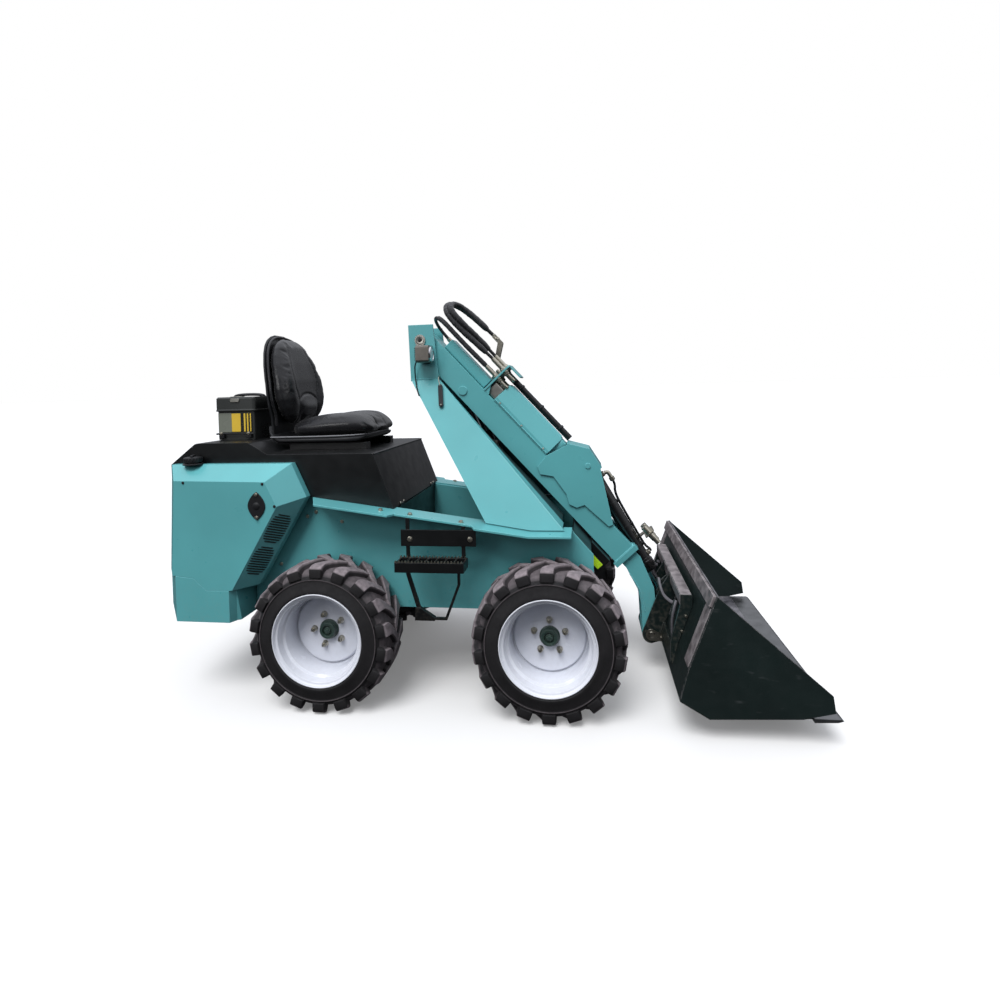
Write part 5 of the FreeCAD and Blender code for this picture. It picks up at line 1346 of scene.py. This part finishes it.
class LOADER_OT_pod_trim(bpy.types.Operator):
    """Makes the pods' covers, louvres, rubber plugs and the ribs of the fuel cap"""

    bl_idname = "loader.pod_trim"
    bl_label = "Pod trim"

    def execute(self, context):
        # A pointed oval: half its width times 1 - |t| to the power 1.7, along its height t.
        part = np.concatenate([np.linspace(-1, 1, 17), np.linspace(1, -1, 17)[1:-1]])
        side = np.concatenate([np.ones(17), -np.ones(15)])
        oval = np.stack([side * 36 * (1 - np.abs(part) ** 1.9) + side * 2, part * 58], -1)
        cover = plate(oval, 4, 1.2)
        plug = turned([(6, 0), (6, 1.5), (4.5, 3)], 12)
        parts = [placed(cover, (-855, -480.3, 810), RIGHT),
                 placed(turned([(15, 3.6), (15, 5), (12, 7), (4, 7.6)], 24), (-855, -480.3, 810), RIGHT),
                 placed(plug, (-828, -480.0, 899), RIGHT), placed(plug, (-778, -480.0, 808), RIGHT),
                 placed(plug, (-1180, -480.0, 906), RIGHT)]
        piece("pod_covers", mirrored(parts), black_plastic(context), "frame")
        piece("pod_louvres", mirrored(self.louvres()), louvre_enamel(context), "frame")

        ribs = []
        middle = np.array((-1183, -407.0, 987))
        for angle in around(18):
            way = np.array((math.cos(angle), math.sin(angle), 0))
            ribs.append(placed(tile(5.5, 3, 1.2, 13, 1, steps=3), middle + way * 35.6, UP, way))
        dome = turned([(35, 14.5), (33, 17), (24, 19), (9, 20)], 32)
        grip = tile(52, 11, 4, 9, 2)
        ribs += [placed(dome, middle - (0, 0, 0.2)), placed(grip, middle + (0, 0, 17), UP, (1, 0.4, 0))]
        flange = turned([(41, -15), (41, -11), (38, -8.5), (28, -8)], 40)
        ribs.append(placed(flange, middle))
        piece("fuel_cap_ribs", ribs, black_plastic(context), "frame")
        return {"FINISHED"}

    def louvres(self):
        """Louvres on the pod's raked lower face. Each is a lip: its height is a quarter sine over its width
        and falls off at both ends as 1 - |t| to the power 6, and its steep side is the opening."""
        # The face, on the right: its outer edge and its inner edge, from low to high.
        outer = np.array(((-978, -480, 459.3), (-769, -480, 807.0)))
        inner = np.array(((-903, -400, 461.3), (-679, -400, 832.0)))
        up = (outer[1] - outer[0] + inner[1] - inner[0])
        up /= np.linalg.norm(up)
        over = inner.mean(0) - outer.mean(0)
        over -= up * (over @ up)
        over /= np.linalg.norm(over)
        out = np.cross(over, up)
        if out[2] > 0:
            out = -out
        middle = (outer.mean(0) + inner.mean(0)) / 2
        parts = []
        count, pitch = 12, 11.6
        for group in (-78, 78):
            for number in range(count):
                place = (number - (count - 1) / 2) * pitch
                half = 45 * (1 - (place / 72) ** 4) ** 0.5
                part = np.linspace(-1, 1, 11)[:, None]
                rise = 1 - np.abs(part) ** 6
                width = np.array((-4.4, -2.4, 0.4, 2.6, 3.8, 4.0))
                tall = np.array((0.0, 1.7, 3.2, 3.6, 3.0, 0.0))
                spot = middle + up * (group + place)
                # On the face's plane the skin sits a little inside it, so no edge floats.
                ring = (spot + over * (part * half)[..., None] + up * width[None, :, None]
                        + out * (tall * rise - 0.6)[..., None])
                # The lip's crest and steep side take 1, so they are painted near black as the opening's painted
                # shade.
                parts.append(skin(ring, (0, 0.2, 1, 1, 1, 1)))
        return parts


class LOADER_OT_lights(bpy.types.Operator):
    """Makes the lamp's bezel, lens and lead, and the reflectors on the boom's rest"""

    bl_idname = "loader.lights"
    bl_label = "Lamp and reflectors"

    def execute(self, context):
        low, high = (np.array(corner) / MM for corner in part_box("work_light"))
        middle = np.array((high[0], low[1] + 39, (low[2] + high[2]) / 2))
        bezel = turned([(30, -2), (34, -2), (34.5, 4), (33, 7), (30.5, 7), (29.5, 3)], 40)
        piece("lamp_bezel", [placed(bezel, middle, FORWARD)], chrome(context), "frame")
        lens = turned([(30, 1), (29, 4.5), (22, 7), (12, 8.3), (3, 8.8)], 40)
        piece("lamp_lens", [placed(lens, middle, FORWARD)], lamp_glass(context), "frame")
        fins = []
        for number in range(7):
            place = (low[0], middle[1], low[2] + 12 + number * 8.5)
            fins.append(placed(tile(62, 3, 1, 7, 1, steps=3), place, BACK, UP))
        fins.append(placed(tile(22, 34, 6, 4, 1), (middle[0] - 30, high[1] + 1, low[2] + 8),
                           RIGHT, FORWARD))
        lead = spline(((middle[0] - 62, middle[1] + 12, low[2] + 14), (middle[0] - 78, middle[1] + 14, low[2] + 2),
                       (middle[0] - 86, -104, low[2] - 50), (middle[0] - 80, -108, low[2] - 100),
                       (middle[0] - 66, -134, low[2] - 136), (middle[0] - 58, -143, low[2] - 148)), 40)
        fins.append(tube(lead, 3, 10, (0.2, 1, 0.1)))
        piece("lamp_fins", fins, black_plastic(context), "frame")

        # Lime reflectors lie on both sides of the boom's rest, along the boom.
        centre = boomed((1226.0, 0, -106.0))
        lime = tile(104, 30, 3, 5, 1)
        parts = [placed(lime, centre + (0, -130.2, 0), RIGHT, -BOOM_UP)]
        piece("reflectors", mirrored(parts), lime_acrylic(context), "frame")
        back = [placed(tile(110, 36, 4, 2.4, 0.6), centre + (0, -130.05, 0), RIGHT, -BOOM_UP)]
        piece("reflector_backs", mirrored(back), black_plastic(context), "frame")
        return {"FINISHED"}


class LOADER_OT_battery_trim(bpy.types.Operator):
    """Makes the battery's bands, clasp, carrying strap and hold-down"""

    bl_idname = "loader.battery_trim"
    bl_label = "Battery trim"

    def execute(self, context):
        # The box stands from x -1205 to -1023 and y -194 to 40, z 1058 to 1226.
        face = -194.3
        band_height = 1137
        bands = []
        for middle, width in ((-1112, 44), (-1070, 8), (-1055, 7), (-1041, 5)):
            bands.append(placed(tile(width, 84, 2, 1.8, 0.4, steps=3), (middle, face - 1, band_height), RIGHT))
        for middle, width in ((-70, 60), (-140, 10), (-165, 10)):
            bands.append(placed(tile(width, 84, 2, 1.8, 0.4, steps=3), (-1206.2, middle, band_height), BACK))
        piece("battery_bands", bands, band_plastic(context), "frame")
        panels = [placed(tile(66, 88, 3, 1.6, 0.4), (-1168, face, band_height), RIGHT),
                  placed(tile(92, 88, 3, 1.2, 0.4), (-1078, face, band_height), RIGHT)]
        piece("battery_panels", panels[:1], grey_panel(context), "frame")
        piece("battery_panel_ground", panels[1:], black_plastic(context), "frame")
        lid = tile(196, 248, 16, 66, 7, steps=6)
        lip = tile(200, 252, 17, 9, 2.5, steps=6)
        cover = piece("battery_cover", [placed(lid, (-1114, -77, 1189)), placed(lip, (-1114, -77, 1189))],
                      battery_plastic(context), "frame")
        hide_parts("battery_lid")
        clasp = [placed(tile(44, 16, 4, 5, 1.2), (-1112, -200.6, 1240), RIGHT),
                 placed(tile(60, 26, 5, 3, 1), (-1112, -180, 1254.6))]
        piece("battery_clasp", clasp, keeper_steel(context), "frame")
        trim = []
        strap = spline(((-1190, -77, 1252), (-1188, -77, 1260), (-1150, -77, 1265), (-1078, -77, 1265),
                        (-1040, -77, 1260), (-1038, -77, 1252)), 40)
        trim.append(tube(strap, 7, 12, LEFT, 1.8))
        for turn in (-1180, -1046):
            trim.append(placed(tile(26, 22, 4, 16, 2), (turn, face + 1, 1078), RIGHT))
        trim.append(tube(spline(((-1206, -205, 1086), (-1190, -206, 1088), (-1040, -206, 1088),
                                 (-1022, -205, 1086)), 20), 4, 10, UP))
        piece("battery_strap", trim, black_plastic(context), "frame")
        nuts = copies(bolt(11, 6, 12, stud=5), [(-1180, -209, 1088), (-1046, -209, 1088)], RIGHT)
        piece("battery_nuts", nuts, zinc(context), "frame")
        return {"FINISHED"}


class LOADER_OT_boom_trim(bpy.types.Operator):
    """Makes the cover's ribs and screws, the bulkhead's plugs and the clips of the oil pipes"""

    bl_idname = "loader.boom_trim"
    bl_label = "Boom trim"

    def execute(self, context):
        ribs = []
        for across in (-30, -10, 10, 30):
            way = boomed(spline(((440, across, 150.6), (470, across, 151.2), (600, across, 151.2),
                                 (730, across, 151.2), (760, across, 150.6)), 20))
            ribs.append(tube(way, 4.5, 10, LEFT))
        for across in (-79, 79):
            way = boomed(((434, across, 60.0), (600, across, 60.0), (764, across, 60.0)))
            ribs.append(tube(way, 3.2, 8, (0, 1, 0.01)))
        # A channel for the pipes lies on the boom behind the bulkhead, and a web closes the cover's front.
        for along, wide, low, high, length in ((92, 90, 52.8, 104, 262), (767, 90, 54, 148, 32)):
            ribs.append(placed(tile(wide, high - low, 5, length, 2), boomed((along, 0, (low + high) / 2)),
                               BOOM_WAY, BOOM_UP))
        piece("cover_ribs", ribs, teal_enamel(context), "boom")
        # A pressed shield stands on the boom between the bulkhead and the cover.
        shield = placed(tile(124, 60, 5, 52, 2), boomed((378, 0, 85)), BOOM_WAY, BOOM_UP)
        piece("bulkhead_shield", [shield], keeper_steel(context), "boom")

        hard = mirrored(copies(screw(12), boomed([(along, -78.2, 62) for along in (460, 600, 740)]), RIGHT))
        # Plugs, couplings and jam nuts on both faces of the bulkhead.
        nut = bolt(27, 16)
        slim = bolt(25, 12)
        for across, above in ((-52, 178), (-52, 132), (-14, 178), (-14, 132), (38, 132)):
            hard.append(placed(nut, boomed((374.0, across, above)), BOOM_WAY, BOOM_UP))
            hard.append(placed(turned([(7, 0), (10.2, 2), (10.2, 16), (8.5, 19)], 20),
                               boomed((413.0, across, above)), BOOM_WAY, BOOM_UP))
        for across, above in ((66, 177), (44, 177), (-60, 178), (-30, 192), (-62, 134), (38, 132), (0, 150),
                              (62, 110)):
            hard.append(placed(slim, boomed((362.8, across, above)), -BOOM_WAY, BOOM_UP))
        for across, above in ((38, 132), (0, 150), (62, 110)):
            hard.append(placed(turned([(9, 0), (9, 18), (7, 22)], 20), boomed((355.0, across, above)), -BOOM_WAY,
                               BOOM_UP))
        piece("boom_fasteners", hard, zinc(context), "boom")

        # Clips hold the oil pipe beside the cover.
        clips = []
        bend = np.linspace(-0.4, 3.6, 24)
        for along in (470, 600, 730):
            arc = np.stack([along + np.linspace(-0.1, 0.1, 24), 46 + 16.5 * np.cos(bend), 171 + 16.5 * np.sin(bend)],
                           -1)
            clips.append(tube(boomed(arc), 2.4, 8, BOOM_WAY, 2.6))
        piece("pipe_clips", clips, black_enamel(context), "boom")
        return {"FINISHED"}


class LOADER_OT_cylinder_trim(bpy.types.Operator):
    """Makes the cylinders' glands, wipers, ports and the pipe along the tilt cylinder"""

    bl_idname = "loader.cylinder_trim"
    bl_label = "Cylinder trim"

    def execute(self, context):
        self.tilt(context)
        self.lift(context)
        return {"FINISHED"}

    def tilt(self, context):
        """The tilt cylinder's fittings. Its points are given along the barrel from its foot, and above it."""
        foot = boomed((930.0, 0, 155))
        way = np.array((0.4831017, 0, -0.8755643))
        above = np.array((0.8755643, 0, 0.4831017))

        def spots(*places):
            return [foot + way * along + above * over for along, over in places]

        gland = turned([(33.4, 500), (35.2, 502), (35.2, 541), (33.5, 544), (20, 548.6), (15.3, 549)], 40)
        groove = turned([(30.5, 489), (31.5, 490), (31.5, 499), (30.5, 500)], 40)
        piece("tilt_gland", [placed(gland, foot, way, above), placed(groove, foot, way, above)],
              cylinder_enamel(context), "tilt_barrel")
        parts = copies(bolt(22, 16), spots((74, 27), (476, 27)), above)
        parts.append(tube(spline(spots((74, 44), (74, 58), (92, 60), (112, 60)), 16), 9, 14, LEFT))
        parts += copies(bolt(22, 18, washer=False), spots((104, 60)), way, above)
        piece("tilt_ports", parts, zinc(context), "tilt_barrel")
        pipe = spline(spots((118, 60), (140, 60), (170, 40), (240, 35), (400, 35), (446, 36), (472, 50),
                            (476, 44)), 60)
        parts = [tube(pipe, 5.6, 14, LEFT)]
        ring = turned([(29.2, -7), (31.5, -7), (31.5, 7), (29.2, 7)], 36)
        for along in (210, 330, 430):
            parts.append(placed(ring, foot + way * along, way, above))
            parts += copies(tile(26, 14, 3, 12, 1.5), spots((along, 29)), above, way)
        piece("tilt_pipe", parts, cylinder_enamel(context), "tilt_barrel")
        wiper = turned([(15.3, 548.8), (22, 548.8), (22, 551.5), (17, 553), (15.3, 553)], 36)
        piece("tilt_wiper", [placed(wiper, foot, way, above)], black_plastic(context), "tilt_barrel")

    def lift(self, context):
        """The lift cylinder's fittings. Its points are given along the barrel from its foot, and before it."""
        foot = np.array((237.0, 0, 420))
        way = np.array((-0.345562, 0, 0.9383959))
        square = np.array((0.9383959, 0, 0.345562))

        def spots(*places):
            return [foot + way * along + square * over for along, over in places]

        gland = turned([(40.4, 630), (42.5, 632), (42.5, 672), (40, 676), (24, 680.8), (20.3, 681)], 40)
        piece("lift_gland", [placed(gland, foot, way, square)], cylinder_enamel(context), "lift_barrel")
        ports = copies(bolt(24, 16), spots((80, 34), (610, 34)), square)
        piece("lift_ports", ports, zinc(context), "lift_barrel")
        pipe = spline(spots((80, 50), (84, 60), (120, 52), (400, 48), (590, 52), (608, 60), (610, 48)), 60)
        piece("lift_pipe", [tube(pipe, 6, 12, LEFT)], cylinder_enamel(context), "lift_barrel")


def about_pin(points):
    """Points given from the bucket's pin, in the machine's frame."""
    return BUCKET_PIN + np.asarray(points, float)


class LOADER_OT_bucket_trim(bpy.types.Operator):
    """Makes the bucket's plough bolts, its hitch lever, pins and small bolts"""

    bl_idname = "loader.bucket_trim"
    bl_label = "Bucket trim"

    def execute(self, context):
        nuts = [placed(bolt(19, 9, 12), about_pin((500, y, -74)), DOWN) for y in np.linspace(-520, 520, 8)]
        side = copies(bolt(9, 5, 12), about_pin([(76, -365, 70), (88, -365, 130), (104, -365, 190)]), RIGHT)
        caps = copies(bolt(24, 8, 24), about_pin([(60, -30, 166), (60, 30, 166)]), [RIGHT, LEFT])
        parts = nuts + mirrored(side) + caps
        piece("bucket_bolts", parts, zinc(context), "bucket")
        # The hitch lever stands behind the tube and turns the two lock pins down into the bucket.
        lever = [tube(about_pin(spline(((70, -250, 200), (40, -250, 215), (20, -245, 262), (22, -200, 280)), 24)),
                      8, 12, LEFT),
                 tube(about_pin(spline(((60, -300, 60), (52, -300, 120), (66, -290, 190), (80, -270, 214)), 24)), 9,
                      12, LEFT)]
        hooks = [placed(turned([(13, 0), (13, 66), (10, 74)], 20), about_pin((58, -330, -2)), (0.28, 0, 1)),
                 placed(turned([(17, 20), (19, 21), (19, 44), (17, 45)], 20), about_pin((58, -330, -2)),
                        (0.28, 0, 1))]
        piece("hitch_lever", mirrored(lever + hooks), bucket_enamel(context), "bucket")
        return {"FINISHED"}


class LOADER_OT_rails(bpy.types.Operator):
    """Gives the bucket's rail, its upright corners and the hitch tube their rubbed faces"""

    bl_idname = "loader.rails"
    bl_label = "Rubbed rails"

    def execute(self, context):
        # Thin wear faces: the tube's back and top, the rail along the back's top, and a strip at each end.
        faces = []
        tube_back = rounded(724, 40, 2, 3)
        faces.append(placed(plate(tube_back, 1.2, 0.3), about_pin((84.2, 0, 251)), BACK, UP))
        faces.append(placed(plate(tube_back, 1.2, 0.3), about_pin((106, 0, 272.8)), UP, FORWARD))
        down = np.array((-0.365, 0, -0.931))
        out = np.array((-0.931, 0, 0.365))
        top = about_pin((176, 0, 346))
        faces.append(placed(tile(1156, 44, 4, 13, 2), top + down * 25 - out, out, down))
        for side in (-1, 1):
            strip = tile(72, 226, 5, 4, 1)
            faces.append(placed(strip, top + down * 165 - out + (0, side * 538, 0), out, down))
        piece("rubbed_faces", faces, rubbed_enamel(context), "bucket")
        return {"FINISHED"}


class LOADER_OT_welds(bpy.types.Operator):
    """Makes the weld beads of the frame, boom and bucket"""

    bl_idname = "loader.welds"
    bl_label = "Welds"

    def execute(self, context):
        width = context.scene.loader_sizes.weld
        collar = [(1318, 75, 52.5), (1318, -75, 52.5), (1318, -75, -52.5), (1318, 75, -52.5)]
        nose = [(1343, 66, 41), (1343, 66, -27)]
        parts = beads(boomed(collar), width, True, BOOM_WAY)
        parts += mirrored(beads(boomed(nose), width * 0.8, False, (0, 1, 0.2)))
        parts += mirrored(beads(boomed(((1400, 66.5, -43), (1480, 66.5, -59), (1566, 66.5, -108))),
                                width * 0.8))
        parts += mirrored(beads(boomed(((376, 72, 53), (396, 72, 53))), width * 0.7))
        piece("boom_welds", parts, teal_enamel(context), "boom")

        # Along each sill, at the frame's nose, by the boom's pivot, and at the tower's foot.
        parts = []
        for start, finish in (((-655, -326, 811), (240, -326, 687)), ((400, -129, 455), (488, -129, 450))):
            parts.append(bead(start, finish, width, upward=(0, 0.3, 1)))
        parts.append(bead((-306, -93.5, 1312), (-205, -93.5, 1312), width * 0.7, upward=(0, 0.3, 1)))
        parts.append(bead((-2, -388, 717), (160, -391, 699), width, upward=(0, 1, 0.1)))
        piece("frame_welds", mirrored(parts), teal_enamel(context), "frame")

        parts = []
        for corners in ([(176, 578, 344), (76, 578, 86), (44, 578, -26), (140, 578, -84)],
                        [(128, 352, 229), (76, 352, 90)], [(128, 95, 229), (76, 95, 90)],
                        [(160, 560, -78), (480, 560, -62)]):
            parts += beads(about_pin(corners), width * 0.8, False, (0, 1, 0.05))
        piece("bucket_welds", mirrored(parts), bucket_enamel(context), "bucket")
        return {"FINISHED"}


class LOADER_OT_body_trim(bpy.types.Operator):
    """Makes the steps' teeth, the rear door's latch and hinges, the footwell's hinges and the tower's strap"""

    bl_idname = "loader.body_trim"
    bl_label = "Body trim"

    def execute(self, context):
        # Teeth along both bars of each tread: a saw profile carried along the bar.
        teeth = []
        for y in (-446, -516):
            for x in np.arange(-264, 2, 13.0):
                tooth = np.array(((-4.5, 0), (4.5, 0), (3.0, 5), (1.2, 8), (-1.2, 8), (-3.0, 5)))
                ring = np.stack([np.column_stack([x + tooth[:, 0], np.full(6, y + step), 597.6 + tooth[:, 1]])
                                 for step in (-3.6, 3.6)])
                teeth.append(skin(ring))
        piece("step_teeth", mirrored(teeth), zinc(context), "frame")

        parts = [placed(tile(58, 34, 8, 7, 2), (-1318, 0, 812), BACK, UP),
                 placed(tile(34, 12, 4, 14, 3), (-1325, 0, 812), BACK, UP)]
        for y in (-300, 300):
            parts.append(placed(turned([(8, -30), (8, 30)], 20), (-1320, y, 825), LEFT))
            parts.append(placed(tile(60, 34, 4, 4, 1), (-1318, y, 806), BACK, UP))
        # The footwell panel's hinges with their pins.
        for y in (-250, 250):
            parts.append(placed(turned([(7, -26), (7, 26)], 16), (-319, y, 775), LEFT))
        # Six ribs stand across the footwell panel's vent.
        for number in range(6):
            parts.append(placed(tile(150, 7, 3, 5, 1.5, steps=3), (-320.8, -190, 700 - number * 16), FORWARD))
        piece("latches_and_hinges", parts, black_plastic(context), "frame")
        pins = copies(screw(12), [(-316, y, 782) for y in (-272, -228, 272, 228)], (1, 0, 0.2))
        piece("hinge_screws", pins, zinc(context), "frame")

        # A rubber strap hangs from a link on the right plate of the tower, and lies along the plate's lean.
        lean = math.radians(26.4)
        normal = np.array((0, -math.cos(lean), math.sin(lean)))
        down = np.array((0.12, -math.sin(lean), -math.cos(lean)))
        top = np.array((-163, -116.5, 1273)) + normal * 3
        strap = placed(keeper(10, 10, 92, 9), top, normal, np.cross(normal, down))
        piece("tower_strap", [strap], black_plastic(context), "frame")
        link = tube(spline([(-174, -95, 1324), (-176, -106, 1318), (-170, -116, 1296), top + normal * 12,
                            top + normal * 2], 30), 2.2, 8, (1, 0, 0.1))
        button = placed(screw(9), top + down * 92 + normal * 8.8, normal)
        piece("tower_strap_link", [link, button], zinc(context), "frame")

        # A rubber lip along the bonnet's front edge.
        lip = [tube(np.array(((-398, -360, 1002), (-398, 0, 1002.4), (-398, 360, 1002))), 4, 10, UP)]
        piece("bonnet_lip", lip, black_plastic(context), "frame")
        return {"FINISHED"}


OPERATORS = (LOADER_OT_stage, LOADER_OT_hoses, LOADER_OT_cad_finishes, LOADER_OT_tyres, LOADER_OT_rims,
             LOADER_OT_wheel_hardware, LOADER_OT_seat, LOADER_OT_frame_bolts, LOADER_OT_pins, LOADER_OT_pod_trim,
             LOADER_OT_lights, LOADER_OT_battery_trim, LOADER_OT_boom_trim, LOADER_OT_cylinder_trim,
             LOADER_OT_bucket_trim, LOADER_OT_rails, LOADER_OT_welds, LOADER_OT_body_trim)


class LOADER_PT_panel(bpy.types.Panel):
    """Lists the loader's steps and settings"""

    bl_label = "Mini wheel loader"
    bl_idname = "LOADER_PT_panel"
    bl_space_type = "VIEW_3D"
    bl_region_type = "UI"
    bl_category = "Loader"

    def draw(self, context):
        for group in (context.scene.loader_stage, context.scene.loader_colours, context.scene.loader_sizes):
            box = self.layout.box()
            for name in group.__annotations__:
                box.prop(group, name)
        for operator in OPERATORS:
            self.layout.operator(operator.bl_idname)


GROUPS = (("loader_stage", LoaderStage), ("loader_colours", LoaderColours), ("loader_sizes", LoaderSizes))


def register():
    """Adds the settings, the operators and the panel."""
    for name, group in GROUPS:
        bpy.utils.register_class(group)
        setattr(bpy.types.Scene, name, bpy.props.PointerProperty(type=group))
    for made in OPERATORS + (LOADER_PT_panel,):
        bpy.utils.register_class(made)


def unregister():
    """Takes the panel, the operators and the settings away again."""
    for made in reversed(OPERATORS + (LOADER_PT_panel,)):
        bpy.utils.unregister_class(made)
    for name, group in reversed(GROUPS):
        delattr(bpy.types.Scene, name)
        bpy.utils.unregister_class(group)


def main():
    register()
    for operator in OPERATORS:
        prefix, name = operator.bl_idname.split(".")
        getattr(getattr(bpy.ops, prefix), name)()


if __name__ == "__main__":
    main()
